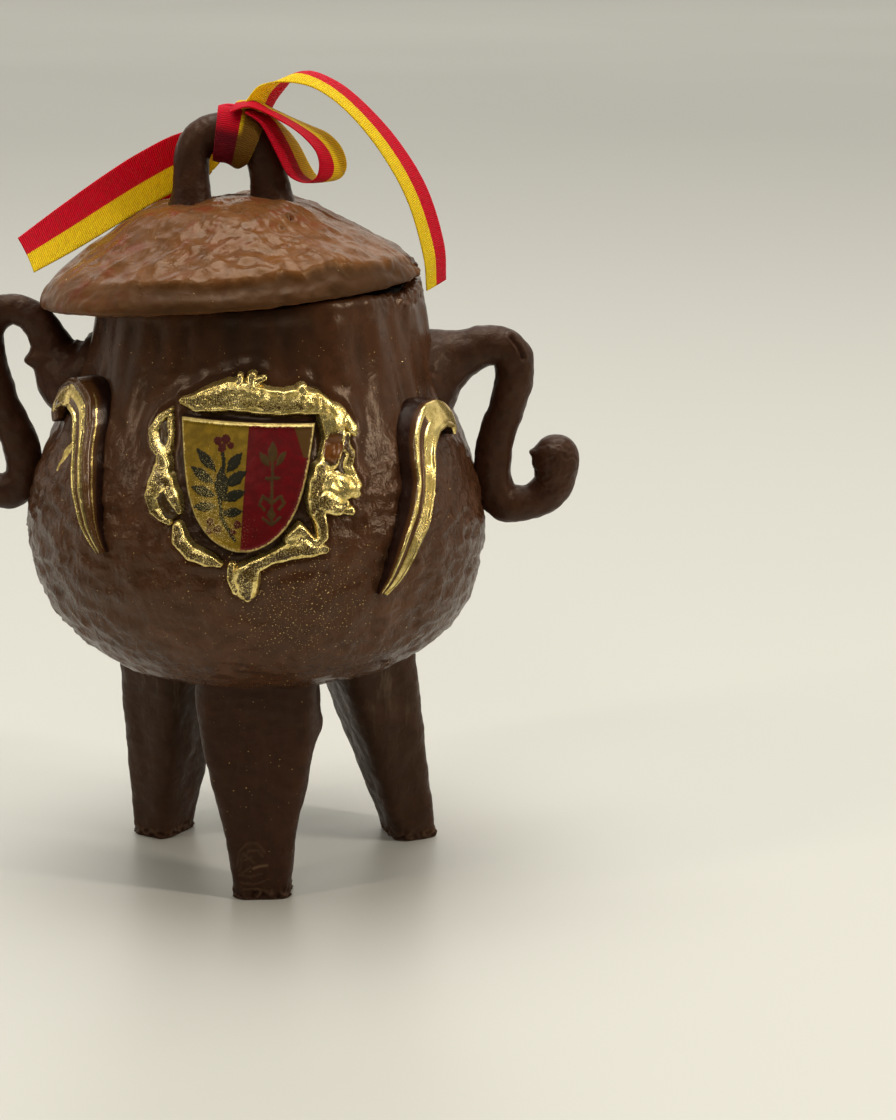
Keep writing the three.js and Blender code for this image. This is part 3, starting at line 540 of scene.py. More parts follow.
def add_object(name, data):
    made = bpy.data.objects.new(name, data)
    bpy.context.scene.collection.objects.link(made)
    return made


def enclosed(points, quads, triangles):
    """Six times the volume inside the faces: the sum of each triangle's a . (b x c)."""
    halves = np.vstack([quads[:, [0, 1, 2]], quads[:, [0, 2, 3]], triangles])
    a, b, c = (points[halves[:, k]] for k in range(3))
    return np.sum(a * np.cross(b, c))


def piece(name, points, quads, triangles=NO_TRIANGLES, closed=True, marks=None):
    """A smooth mesh object at the origin, in metres, its faces turned outwards if closed.
    marks are named values for each point, for the materials."""
    points = (np.asarray(points, float) + AXIS_AT) * MM
    if closed and enclosed(points - points.mean(axis=0), quads, triangles) < 0:
        quads, triangles = quads[:, ::-1], triangles[:, ::-1]
    mesh = bpy.data.meshes.new(name)
    mesh.from_pydata(points.tolist(), [], quads.tolist() + triangles.tolist())
    mesh.polygons.foreach_set("use_smooth", np.ones(len(mesh.polygons), bool))
    for key, values in (marks or {}).items():
        layer = mesh.attributes.new(key, "FLOAT", "POINT")
        layer.data.foreach_set("value", np.ascontiguousarray(values, np.float32).ravel())
    mesh.update()
    return add_object(name, mesh)


def tube_piece(name, grid, marks=None):
    """A piece from rings of points, closed at both ends by fans about each end ring's
    middle. Marks are 0 at the two middles."""
    rows, columns = grid.shape[:2]
    points = np.vstack([grid.reshape(-1, 3), grid[0].mean(axis=0), grid[-1].mean(axis=0)])
    ring = np.arange(columns)
    after = (ring + 1) % columns
    first = np.full(columns, rows * columns)
    last_row = (rows - 1) * columns
    caps = np.vstack([
        np.stack([after, ring, first], axis=-1),
        np.stack([last_row + ring, last_row + after, first + 1], axis=-1),
    ])
    spread = {
        key: np.append(np.broadcast_to(value, (rows, columns)).ravel(), [0, 0])
        for key, value in (marks or {}).items()
    }
    return piece(name, points, grid_faces(rows, columns), caps, marks=spread)


def plate_piece(name, front, back, marks, kept=None, marked_back=1):
    """A piece from a front and a back grid of points, joined by walls round every open edge.
    The back's marks are the front's times marked_back."""
    rows, columns = front.shape[:2]
    quads = grid_faces(rows, columns, around=False)
    if kept is not None:
        quads = quads[kept.ravel()[quads].any(axis=1)]
    count = rows * columns
    edges = np.stack([quads, np.roll(quads, -1, axis=1)], axis=-1).reshape(-1, 2)
    forwards = edges[:, 0] * count + edges[:, 1]
    backwards = edges[:, 1] * count + edges[:, 0]
    rim = edges[~np.isin(forwards, backwards)]
    walls = np.stack([rim[:, 1], rim[:, 0], rim[:, 0] + count, rim[:, 1] + count], axis=-1)
    faces = np.vstack([quads, quads[:, ::-1] + count, walls])
    points = np.vstack([front.reshape(-1, 3), back.reshape(-1, 3)])
    used = np.unique(faces)
    place = np.zeros(len(points), int)
    place[used] = np.arange(len(used))
    both = {
        key: np.concatenate([value.ravel(), marked_back * value.ravel()])[used]
        for key, value in marks.items()
    }
    return piece(name, points[used], place[faces], marks=both)


def stands_for(made, nodes, material):
    """Fixes a piece to the model in place of the solids, with its finish."""
    made.data.materials.append(material)
    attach(made, "root")
    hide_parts(*nodes)


# ---- Shapes shared by several pieces -------------------------------------------------

POT_WALL = spline(POT_PROFILE, np.linspace(0, 1, 4001))
RISING = np.maximum.accumulate(POT_WALL[:, 1])


def pot_radius(z):
    return np.interp(z, RISING, POT_WALL[:, 0])


def pot_lean(z):
    """How far the hand-shaped pot's axis is to the right: 0.45 + 0.75 cos of the height."""
    return 0.45 + 0.75 * np.cos(2 * np.pi * (z - 48) / 104)


def pot_unevenness(angle, z):
    """Broad waves of the wall: three and five round the belly, nine flats round the neck,
    and a sag at the lower left."""
    belly = 0.32 * np.sin(3 * angle + z / 23 + 0.6) + 0.22 * np.sin(5 * angle - z / 17 + 2)
    neck = 0.34 * np.cos(9 * angle + 1) * smooth(118, 134, z)
    return (belly + neck) * smooth(54, 62, z) + 1.1 * bell(angle, -1.62, 0.55) * bell(z, 71, 9)


def pot_point(angle, z, outside):
    """The wall point at an azimuth and height, moved outwards along the radius."""
    radius = pot_radius(z) + pot_unevenness(angle, z) + outside
    return np.stack([pot_lean(z) + radius * np.sin(angle), -radius * np.cos(angle), z + 0 * angle], axis=-1)


def pot_front_point(x, z, outside):
    return pot_point(np.arcsin((x - pot_lean(z)) / (pot_radius(z) + 3)), z, outside)


def lid_turn():
    """The lid's tilt: about X by the backward tilt, after about Y by the sideways one."""
    (ca, sa), (cb, sb) = ((math.cos(t), math.sin(t)) for t in (-LID_TILT_BACK, -LID_TILT_SIDE))
    about_x = np.array([[1, 0, 0], [0, ca, -sa], [0, sa, ca]])
    about_y = np.array([[cb, 0, sb], [0, 1, 0], [-sb, 0, cb]])
    return about_x @ about_y


LID_TURN = lid_turn()


def lid_underside(x, y):
    """Height of the lid's flat underside above a point."""
    up = LID_TURN[:, 2]
    return LID_AT[2] - (up[0] * (x - LID_AT[0]) + up[1] * (y - LID_AT[1])) / up[2]


def bar_grid(path, rows, columns, depth=1.0):
    """Rings of a round bar about a plane path of (distance, height, half thickness): the
    middle plus half times cos in the path's plane and half times depth times sin out of it.
    Also each ring's share of the path."""
    shares = np.linspace(0, 1, rows)
    turn = np.linspace(0, 2 * np.pi, columns, endpoint=False)[None, :]
    steps = np.arange(BAR_STEPS + 1)
    fine = spline(path, np.linspace(0, 1, BAR_STEPS + 1))
    along = directions(fine[:, :2])
    at = shares[:, None] * BAR_STEPS
    x, z, half = (np.interp(at, steps, column) for column in fine.T)
    way_x, way_z = (np.interp(at, steps, column) for column in along.T)
    inside, out = half * np.cos(turn), half * depth * np.sin(turn)
    return np.stack(np.broadcast_arrays(x - way_z * inside, out, z + way_x * inside), axis=-1), shares


def arch_placed(grid):
    """The grip's plane path turned about Z and set on the lid."""
    c, s = math.cos(ARCH_TURN), math.sin(ARCH_TURN)
    x, y, z = np.moveaxis(grid, -1, 0)
    return np.stack([ARCH_AT_X + c * x - s * y, s * x + c * y, z], axis=-1)


# ---- Shader groups shared by several materials ----------------------------------------


def feed(tree, socket, value):
    """Links another socket to this one, or sets a constant on it."""
    if isinstance(value, bpy.types.NodeSocket):
        tree.links.new(value, socket)
    else:
        socket.default_value = value


def add_node(tree, kind, inputs=None, **settings):
    made = tree.nodes.new(kind)
    for key, value in settings.items():
        setattr(made, key, value)
    for key, value in (inputs or {}).items():
        feed(tree, made.inputs[key], value)
    return made


def calculate(tree, operation, first, second=0.0, third=0.0):
    inputs = {0: first, 1: second, 2: third}
    return add_node(tree, "ShaderNodeMath", inputs, operation=operation).outputs[0]


def mix_colours(tree, share, first, second):
    return add_node(tree, "ShaderNodeMix", {0: share, 6: first, 7: second}, data_type="RGBA").outputs[2]


def between(tree, value, low, high, to_low=0.0, to_high=1.0):
    """Smooth step of a value between two limits, onto another range."""
    inputs = {"Value": value, "From Min": low, "From Max": high, "To Min": to_low, "To Max": to_high}
    made = add_node(tree, "ShaderNodeMapRange", inputs, interpolation_type="SMOOTHSTEP")
    return made.outputs["Result"]


def noise(tree, place, scale, detail=3.0, rough=0.55, distortion=0.0):
    inputs = {"Vector": place, "Scale": scale, "Detail": detail, "Roughness": rough, "Distortion": distortion}
    return add_node(tree, "ShaderNodeTexNoise", inputs).outputs["Fac"]


def new_group(name, inputs, outputs):
    """A shader group with named sockets; inputs are (name, kind, default)."""
    group = bpy.data.node_groups.new(name, "ShaderNodeTree")
    for socket_name, kind, default in inputs:
        socket = group.interface.new_socket(name=socket_name, in_out="INPUT", socket_type=kind)
        if default is not None:
            socket.default_value = default
    for socket_name, kind in outputs:
        group.interface.new_socket(name=socket_name, in_out="OUTPUT", socket_type=kind)
    return group, group.nodes.new("NodeGroupInput").outputs, group.nodes.new("NodeGroupOutput").inputs


VECTOR, NUMBER, COLOUR = "NodeSocketVector", "NodeSocketFloat", "NodeSocketColor"


def cocoa_tones(name):
    """Colour of chocolate: the base, paler where it was brushed thin and deeper in patches."""
    group, given, put = new_group(
        name,
        [("Place", VECTOR, None), ("Base", COLOUR, None), ("Pale", COLOUR, None),
         ("Deep", COLOUR, None), ("Patch scale", NUMBER, 60.0)],
        [("Color", COLOUR)],
    )
    patches = noise(group, given["Place"], given["Patch scale"], 4, 0.6, 0.6)
    finer = noise(group, given["Place"], calculate(group, "MULTIPLY", given["Patch scale"], 4.7), 3, 0.6)
    pale = between(group, patches, 0.46, 0.74)
    deep = between(group, finer, 0.58, 0.30)
    toned = mix_colours(group, calculate(group, "MULTIPLY", pale, 0.8), given["Base"], given["Pale"])
    toned = mix_colours(group, calculate(group, "MULTIPLY", deep, 0.55), toned, given["Deep"])
    group.links.new(toned, put["Color"])
    return group


def cocoa_skin(name):
    """Height of the fine skin: wrinkles of one size, finer ones on them, and a few pits."""
    group, given, put = new_group(
        name,
        [("Place", VECTOR, None), ("Wrinkle scale", NUMBER, 300.0)],
        [("Height", NUMBER), ("Sheen", NUMBER)],
    )
    wrinkles = noise(group, given["Place"], given["Wrinkle scale"], 3, 0.55, 0.8)
    grain = noise(group, given["Place"], calculate(group, "MULTIPLY", given["Wrinkle scale"], 5.0), 2, 0.5)
    cells = add_node(
        group, "ShaderNodeTexVoronoi",
        {"Vector": given["Place"], "Scale": calculate(group, "MULTIPLY", given["Wrinkle scale"], 1.6)},
    ).outputs
    pit = between(group, cells["Distance"], 0.16, 0.05)
    drawn = add_node(group, "ShaderNodeSeparateColor", {"Color": cells["Color"]}).outputs[0]
    rare = calculate(group, "GREATER_THAN", drawn, 0.86)
    pits = calculate(group, "MULTIPLY", calculate(group, "MULTIPLY", pit, rare), 0.3)
    height = calculate(group, "MULTIPLY_ADD", grain, 0.16, wrinkles)
    group.links.new(calculate(group, "SUBTRACT", height, pits), put["Height"])
    group.links.new(between(group, wrinkles, 0.35, 0.7), put["Sheen"])
    return group


def leaf_gold(name):
    """Edible gold: where it took hold, its colour from deep to bright, and its dullness."""
    group, given, put = new_group(
        name,
        [("Place", VECTOR, None), ("Cover", NUMBER, 1.0), ("Gold", COLOUR, None),
         ("Deep gold", COLOUR, None), ("Grain scale", NUMBER, 2600.0)],
        [("Mask", NUMBER), ("Color", COLOUR), ("Roughness", NUMBER), ("Height", NUMBER)],
    )
    grain = noise(group, given["Place"], given["Grain scale"], 3, 0.6)
    patches = noise(group, given["Place"], calculate(group, "MULTIPLY", given["Grain scale"], 0.16), 3, 0.6)
    frayed = calculate(group, "MULTIPLY_ADD", calculate(group, "SUBTRACT", grain, 0.5), 0.7, given["Cover"])
    group.links.new(between(group, frayed, 0.42, 0.56), put["Mask"])
    rubbed = calculate(group, "MULTIPLY_ADD", patches, 0.6, calculate(group, "MULTIPLY", grain, 0.4))
    worn = between(group, rubbed, 0.36, 0.62)
    group.links.new(mix_colours(group, worn, given["Deep gold"], given["Gold"]), put["Color"])
    group.links.new(between(group, patches, 0.3, 0.7, 0.34, 0.18), put["Roughness"])
    group.links.new(grain, put["Height"])
    return group


SHARED_GROUPS = {"Cocoa tones": cocoa_tones, "Cocoa skin": cocoa_skin, "Leaf gold": leaf_gold}


def use_group(tree, name, inputs):
    """The outputs of a shared group, built once and placed with a material's own values."""
    group = bpy.data.node_groups.get(name) or SHARED_GROUPS[name](name)
    return add_node(tree, "ShaderNodeGroup", inputs, node_tree=group).outputs


# ---- Materials ------------------------------------------------------------------------


class Finish:
    """A material with one Principled shader, and the piece's own coordinates in metres."""

    def __init__(self, name):
        self.material = bpy.data.materials.new(name)
        self.material.use_nodes = True
        self.tree = self.material.node_tree
        self.tree.nodes.clear()
        self.shader = self.tree.nodes.new("ShaderNodeBsdfPrincipled")
        output = self.tree.nodes.new("ShaderNodeOutputMaterial")
        self.tree.links.new(self.shader.outputs[0], output.inputs["Surface"])
        self.place = self.tree.nodes.new("ShaderNodeTexCoord").outputs["Object"]

    def put(self, name, value):
        feed(self.tree, self.shader.inputs[name], value)

    def bump(self, height, distance):
        inputs = {"Height": height, "Distance": distance, "Strength": 1.0}
        self.put("Normal", add_node(self.tree, "ShaderNodeBump", inputs).outputs[0])


def opaque(colour, factor=1.0):
    return (*(min(channel * factor, 1.0) for channel in colour), 1.0)


def mark(tree, name):
    """One of the piece's own named values, kept on its points."""
    return add_node(tree, "ShaderNodeAttribute", attribute_name=name).outputs["Fac"]


def stretched(tree, place, scale):
    return add_node(tree, "ShaderNodeMapping", {"Vector": place, "Scale": scale}).outputs[0]


def chocolate(name, colour, roughness, skin, patches, pale, deep, coat=0.0, gloss=0.30):
    """Chocolate: toned colour, wrinkled skin, and gloss that changes with the wrinkles. skin
    is the wrinkles' scale and their height; pale and deep are factors of the colour."""
    finish = Finish(name)
    skin_scale, skin_depth = skin
    finish.tones = use_group(finish.tree, "Cocoa tones", {
        "Place": finish.place, "Base": opaque(colour), "Pale": opaque(colour, pale),
        "Deep": opaque(colour, deep), "Patch scale": patches,
    })
    finish.skin = use_group(finish.tree, "Cocoa skin", {"Place": finish.place, "Wrinkle scale": skin_scale})
    finish.put("Base Color", finish.tones["Color"])
    finish.put("Roughness", between(
        finish.tree, finish.skin["Sheen"], 0.0, 1.0, roughness + 0.08, roughness - 0.06
    ))
    finish.put("Specular IOR Level", gloss)
    finish.put("Specular Tint", CHOCOLATE_TINT)
    finish.put("Coat Weight", coat)
    finish.put("Coat Roughness", 0.18)
    finish.bump(finish.skin["Height"], skin_depth)
    return finish


def gild(finish, cover, colours, under, roughness, grain_scale=2600.0):
    """Lays gold over a finish where cover is high: colour, metal and dullness change."""
    tree = finish.tree
    gold = use_group(tree, "Leaf gold", {
        "Place": finish.place, "Cover": cover, "Gold": opaque(colours.gold),
        "Deep gold": DEEP_GOLD, "Grain scale": grain_scale,
    })
    finish.put("Base Color", mix_colours(tree, gold["Mask"], under, gold["Color"]))
    finish.put("Metallic", calculate(tree, "MULTIPLY", gold["Mask"], 0.88))
    rough = add_node(tree, "ShaderNodeMix", {0: gold["Mask"], 2: roughness, 3: gold["Roughness"]})
    finish.put("Roughness", rough.outputs[0])
    return gold


# ---- Pot ------------------------------------------------------------------------------


def mouth_height(angle):
    """The mouth's crest: just under the lid, and lower where the wall is broken."""
    x, y = MOUTH_INNER * np.sin(angle), -MOUTH_INNER * np.cos(angle)
    return lid_underside(x, y) - LID_GAP - BROKEN_DEPTH * bell(angle, BROKEN_AT, math.radians(16))


def pot_grid(columns, wall_rows):
    """Rings of the pot from its bottom up, over the mouth and into it: each ring's radius
    is the profile's plus the unevenness, and the top follows the lid's tilt."""
    wall = evenly(POT_WALL, wall_rows + 1)[1:]
    rim = evenly(POT_RIM, 18)[1:]
    floor = evenly(POT_FLOOR, 7)[1:]
    profile = np.vstack([wall, rim, floor])
    angle = np.linspace(-np.pi, np.pi, columns, endpoint=False)[None, :]
    radius, z = profile[:, :1], profile[:, 1:]
    outer = radius + pot_unevenness(angle, z) * smooth(30, 36, radius)
    crest_middle = lid_underside(0, 0) - LID_GAP
    crest = crest_middle + (mouth_height(angle) - crest_middle) * smooth(20, 36, radius)
    height = z + (crest - MOUTH_Z) * smooth(132, 150, z)
    grid = np.stack([pot_lean(z) + outer * np.sin(angle), -outer * np.cos(angle), height], axis=-1)
    return grid, np.broadcast_to(angle, height.shape), height


def lobe_height(x, z, lobes):
    """Height of cast lobes over the wall and how near their rim a point is: for each span of
    a lobe, share times sqrt(1 - (distance / half width)^2), and falling away outside it."""
    best = np.full(x.shape, -FAR)
    near_rim = np.full(x.shape, FAR)
    at = np.stack([x, z], axis=-1)
    for lobe in lobes:
        for start, end in zip(lobe[:-1], lobe[1:]):
            a, along = np.array(start[:2]), np.subtract(end[:2], start[:2])
            share = np.clip((at - a) @ along / (along @ along), 0, 1)
            away = np.linalg.norm(at - a - share[..., None] * along, axis=-1)
            half = start[2] + (end[2] - start[2]) * share
            rise = CARTOUCHE_RELIEF * (start[3] + (end[3] - start[3]) * share)
            over = rise * np.sqrt(np.clip(1 - (away / half) ** 2, 0, 1)) - np.clip(away - half, 0, None)
            best = np.maximum(best, over)
            near_rim = np.minimum(near_rim, away / half)
    return best, near_rim


def pot_finish(colours):
    """Brushed chocolate with upright strokes, a dark melt seam and painted shade round the ornaments,
    painted shadow of the lid and painted shade in the neck's hollows, and gold where it strayed."""
    finish = chocolate(
        "brushed milk chocolate", colours.pot, 0.27,
        skin=(330.0, POT_BUMP), patches=55.0, pale=1.45, deep=0.5,
    )
    tree = finish.tree
    strokes = noise(tree, stretched(tree, finish.place, (1, 1, 0.4)), 430.0, 2, 0.5, 0.4)
    skin_and_strokes = calculate(tree, "MULTIPLY_ADD", strokes, 0.75, finish.skin["Height"])
    finish.bump(calculate(tree, "MULTIPLY", skin_and_strokes, mark(tree, "rippled")), POT_BUMP)
    # The seam with its painted shade, and the neck's painted shadow and fold shade, darken the chocolate.
    seam_and_shade = between(tree, mark(tree, "seam_and_shade"), 0.1, 0.9, 0.0, 0.75)
    seam_and_shade = calculate(tree, "MAXIMUM", seam_and_shade, calculate(tree, "MULTIPLY", mark(tree, "neck_shade"), 0.75))
    darker = mix_colours(tree, seam_and_shade, finish.tones["Color"], SEAM_AND_SHADE_BROWN)
    gild(finish, mark(tree, "stray_gold"), colours, darker, 0.27)
    return finish


def make_pot(sizes, colours):
    """The rings of pot_grid, raised by: crumpled dents and wrinkles on the belly, soft upright
    folds on the neck, a brim and a groove round the cartouche, and the broken wall."""
    grid, angle, z = pot_grid(columns=460, wall_rows=176)
    front = np.abs(angle) < 1.2
    sides = smooth(0.5, 1.0, np.abs(angle))
    belly = 1 - smooth(104, 130, z)
    dents = ridged(grid * (0.7, 0.7, 1), 8.5, 11) + 0.5 * lumps(grid, 13, 31)
    wrinkles = ridged(grid * (0.55, 0.55, 1.25), 3.8, 21) + 0.4 * lumps(grid, 3.0, 26)
    folds = lumps(grid * (1, 1, 0.22), 11, 51, octaves=2)
    crumpled = belly * (1.15 * dents + (0.7 + 0.55 * sides) * wrinkles) + (1 - belly) * 0.10 * wrinkles
    relief = sizes.pot_skin / MM * crumpled
    relief += sizes.neck_skin / MM * smooth(108, 134, z) * folds
    relief *= smooth(149.2, 152.0, z) * -0.6 + 1
    x = pot_lean(z) + (pot_radius(z) + 3) * np.sin(angle)
    away = np.full(z.shape, -FAR)
    away[front] = lobe_height(x[front], z[front], CARTOUCHE_LOBES + CARTOUCHE_HOLLOWS)[0]
    relief += 0.35 * bell(away, -1.4, 1.0) - 0.2 * bell(away, -4.2, 1.6)
    broken = bell(angle, BROKEN_AT, math.radians(22)) * smooth(150.0, 151.6, z)
    relief += 0.9 * broken * lumps(grid, 1.6, 71, octaves=2)

    degrees = np.degrees(angle)
    smeared = distance_to_line(np.stack([degrees * 0.9, z], axis=-1), SMEAR)
    # Painted shade in the recess between the shield and the cartouche.
    framed = smooth(1.04, 0.92, np.hypot((x - 1) / 19.5, (z - 113.5) / 18.5)) * front
    # Painted shadow of the lid's overhang on the middle of the neck.
    middle_shade = bell(degrees, -3, 22) * (np.abs(angle) < 1.5)
    marks = {
        "stray_gold": 1 - 0.5 * smeared / (0.55 + 0.75 * smooth(113.0, 116.0, z)),
        # A darker melt seam round the lobes with painted shade in that corner, and the painted recess shade.
        "seam_and_shade": np.maximum(0.35 * bell(away, -1.2, 1.1), framed),
        "rippled": 0.22 + 0.78 * belly * (1 + 0.5 * sides),
        # The painted shadow under the lid, and painted shade in the hollows of the neck's folds.
        "neck_shade": smooth(108, 126, z) * (middle_shade + 0.7 * smooth(0.1, -0.5, folds) - 0.3),
    }
    made = tube_piece("pot_chocolate", raised(grid, relief), marks)
    stands_for(made, ["pot"], pot_finish(colours).material)


# ---- Lid ------------------------------------------------------------------------------


def lid_grid(columns, dome_rows):
    """Rings of the lid from the middle of its underside out, round the rim and up the dome."""
    under = evenly([(1.5, 0), (46.6, 0)], 16)
    lip = evenly([(46.6, 0), (47.6, 0.15), (48.4, 0.9)], 7)[1:]
    dome = evenly(spline(LID_PROFILE, np.linspace(0, 1, 3001)), dome_rows + 1)[1:-1]
    profile = np.vstack([under, lip, dome])
    angle = np.linspace(-np.pi, np.pi, columns, endpoint=False)[None, :]
    radius, z = profile[:, :1], profile[:, 1:]
    edge = 1 + 0.008 * np.sin(2 * angle + 0.5) + 0.007 * np.sin(5 * angle + 1.2)
    swell = 0.5 * np.sin(3 * angle + 0.4) * np.sin(np.pi * radius / 48.4)
    height = z + np.where(z > 0, swell, 0)
    outer = radius * edge
    grid = np.stack([outer * np.sin(angle), -outer * np.cos(angle), height], axis=-1)
    return grid, angle + 0 * z, radius + 0 * angle, height


def lid_finish(colours):
    """Wet chocolate, redder in patches, with painted shade and more dullness below the ridge,
    and painted shade in the pits.
    """
    finish = chocolate(
        "wet milk chocolate", colours.lid, 0.27,
        skin=(260.0, 0.00022), patches=48.0, pale=1.25, deep=0.5, gloss=0.24,
    )
    tree = finish.tree
    finish.put("Specular Tint", LID_TINT)
    mottle = noise(tree, finish.place, 170.0, 4, 0.65)
    reddened = calculate(tree, "MULTIPLY", between(tree, mottle, 0.50, 0.66), mark(tree, "redder"))
    shade = mix_colours(tree, reddened, finish.tones["Color"], LID_REDDENED)
    # Painted shade on the band below the ridge, which faces away from the light; it is also duller.
    below = mark(tree, "below")
    shade = mix_colours(tree, calculate(tree, "MULTIPLY", below, 0.76), shade, opaque(colours.lid, 0.18))
    # Painted shade in the pits.
    shade = mix_colours(tree, between(tree, mark(tree, "hole"), 0.2, 0.8), shade, LID_PIT_SHADE)
    finish.put("Base Color", shade)
    dull = between(tree, finish.skin["Sheen"], 0.0, 1.0, 0.30, 0.19)
    dull = calculate(tree, "MULTIPLY_ADD", mark(tree, "wet"), -0.10, calculate(tree, "ADD", dull, 0.04))
    finish.put("Roughness", calculate(tree, "MULTIPLY_ADD", below, 0.25, dull))
    return finish


def make_lid(sizes, colours):
    """The rings of lid_grid, raised by: lumps, wet ripples in the middle of the front, runs
    down both sides, the wavy ridge above the rim, the uneven rim and the pits."""
    grid, angle, radius, z = lid_grid(columns=440, dome_rows=150)
    degrees = np.degrees(angle)
    upper = smooth(1.2, 4.5, z)
    rim = bell(z, 2.0, 3.0)
    flat = np.stack([angle * LID_UNROLL, radius, 0 * z], axis=-1)
    lumpy = 1.0 * lumps(grid, 13, 101) + 0.8 * lumps(grid, 6.5, 111) + 0.25 * ridged(grid, 4.2, 115)
    relief = sizes.lid_skin / MM * upper * lumpy
    wet = bell(degrees, 6, 32) * bell(radius, 34, 10)
    ripples = ridged(flat * (0.6, 0.8, 1), 4.9, 121) + 0.9 * lumps(flat, 3.0, 126, octaves=2)
    relief += 0.34 * wet * ripples
    right, left = smooth(20, 45, degrees) * (1 - smooth(120, 160, degrees)), smooth(-50, -80, degrees)
    relief += 0.20 * (right + left + 0.35) * upper * ridged(flat * (1, 0.3, 1), 3.4, 128)

    line = LID_RIDGE_RADIUS + 0.8 * np.sin(3.1 * angle + 1.0)
    line = line + 0.9 * lumps(flat * (1, 0, 0), 5.0, 131, octaves=2) + 2.3 * smooth(34, 56, degrees)
    along = smooth(-44, -16, degrees) * (1 - smooth(66, 88, degrees))
    ridge = smooth(line + 1.5, line - 0.3, radius) * np.exp(np.minimum(radius - line, 0) / 6.0)
    relief += along * upper * ridge * (1 + 0.35 * lumps(grid, 4.0, 134)) * sizes.lid_ridge / MM
    relief -= 0.25 * along * bell(radius, line + 2.2, 1.2) * upper
    outside = smooth(line, line + 1.5, radius)
    relief += (along * 0.22 + rim * 0.15) * outside * lumps(flat * (1, 0.15, 1), 3.6, 137)
    relief += rim * 0.30 * lumps(grid, 4.0, 141, octaves=2)
    worn_end = bell(degrees, 88, 11) * smooth(44, 47.5, radius)
    relief += worn_end * 1.0 * lumps(grid, 1.7, 151, octaves=2)

    # Where the pits get painted shade.
    hole = 0 * z
    for pit_degrees, pit_radius, wide, deep in LID_PITS:
        at = np.radians(pit_degrees)
        off = np.hypot(grid[..., 0] - pit_radius * np.sin(at), grid[..., 1] + pit_radius * np.cos(at))
        relief += upper * (0.30 * bell(off, wide * 1.8, wide * 0.6) - deep * bell(off, 0, wide))
        hole = np.maximum(hole, bell(off, 0, wide * 0.9))
    marks = {
        # Where the band below the ridge gets painted shade and more dullness.
        "below": smooth(line - 0.2, line + 1.6, radius) * (0.35 + 0.65 * along) * smooth(-0.5, 1.0, z),
        "hole": hole,
        "redder": 0.25 + 0.75 * np.maximum(bell(radius, 18, 12), bell(degrees, -55, 26)),
        "wet": wet,
    }
    made = tube_piece("lid_chocolate", raised(grid, relief) @ LID_TURN.T + LID_AT, marks)
    stands_for(made, ["lid"], lid_finish(colours).material)


# ---- Grip and handles -----------------------------------------------------------------


def right_handle_relief(bar, relief):
    """Adds a scar on the bend, crumples on the knob, its small tip and a swelling below."""
    front = bar[..., 1] < -1
    flat = bar * (1, 0, 1)
    scar = distance_to_line(flat, RIGHT_SCAR)
    knob = np.linalg.norm(flat - RIGHT_KNOB, axis=-1)
    relief = relief + front * (0.25 * bell(scar, 0.9, 0.35) - 0.9 * bell(scar, 0, 0.42))
    relief += front * 0.16 * (1 - smooth(5.5, 7.5, knob)) * ridged(bar, 1.7, 231)
    return relief + 2.4 * near(flat, RIGHT_TIP, 0.9) + 0.9 * near(flat, RIGHT_SWELLING, 3.2)


def left_handle_relief(bar, relief):
    """Adds the drip under the root."""
    return relief + 1.8 * near(bar * (1, 0, 1), LEFT_DRIP, 1.6)


def make_bars(sizes, colours):
    """Round bars raised by lumps, and flared by a bell of the path's share where they grow
    out of the lid or the wall."""
    material = chocolate(
        "dull moulded chocolate", colours.dark, 0.42,
        skin=(420.0, 0.00024), patches=80.0, pale=1.6, deep=0.6, gloss=0.25,
    ).material
    skin = sizes.bar_skin / MM
    arch, shares = bar_grid(ARCH_PATH, rows=260, columns=100)
    arch = arch_placed(arch)
    flare = 1.6 * bell(shares, 0, 0.05) + 2.2 * bell(shares, 1, 0.05)
    relief = skin * (lumps(arch, 8, 201, octaves=2) + 0.3 * ridged(arch, 3, 205)) + flare[:, None]
    made = tube_piece("grip_chocolate", raised(arch, relief))
    stands_for(made, ["lid_handle"], material)
    for side, path, seed, own_relief in (
        ("right", HANDLE_RIGHT_PATH, 211, right_handle_relief),
        ("left", HANDLE_LEFT_PATH, 221, left_handle_relief),
    ):
        bar, shares = bar_grid(path, rows=480, columns=112, depth=HANDLE_DEPTH)
        relief = skin * (1.2 * lumps(bar, 9, seed) + lumps(bar, 4.5, seed + 5, octaves=2))
        relief = relief * smooth(0, 0.03, 1 - shares)[:, None] + 3.0 * bell(shares, 0, 0.045)[:, None]
        made = tube_piece(side + "_handle_chocolate", raised(bar, own_relief(bar, relief)))
        stands_for(made, ["handle_" + side], material)


# ---- Legs -----------------------------------------------------------------------------


def squared(value):
    """One side of a rounded square: sign(value) |value|^(2 / squareness)."""
    return np.sign(value) * np.abs(value) ** (2 / LEG_SQUARENESS)


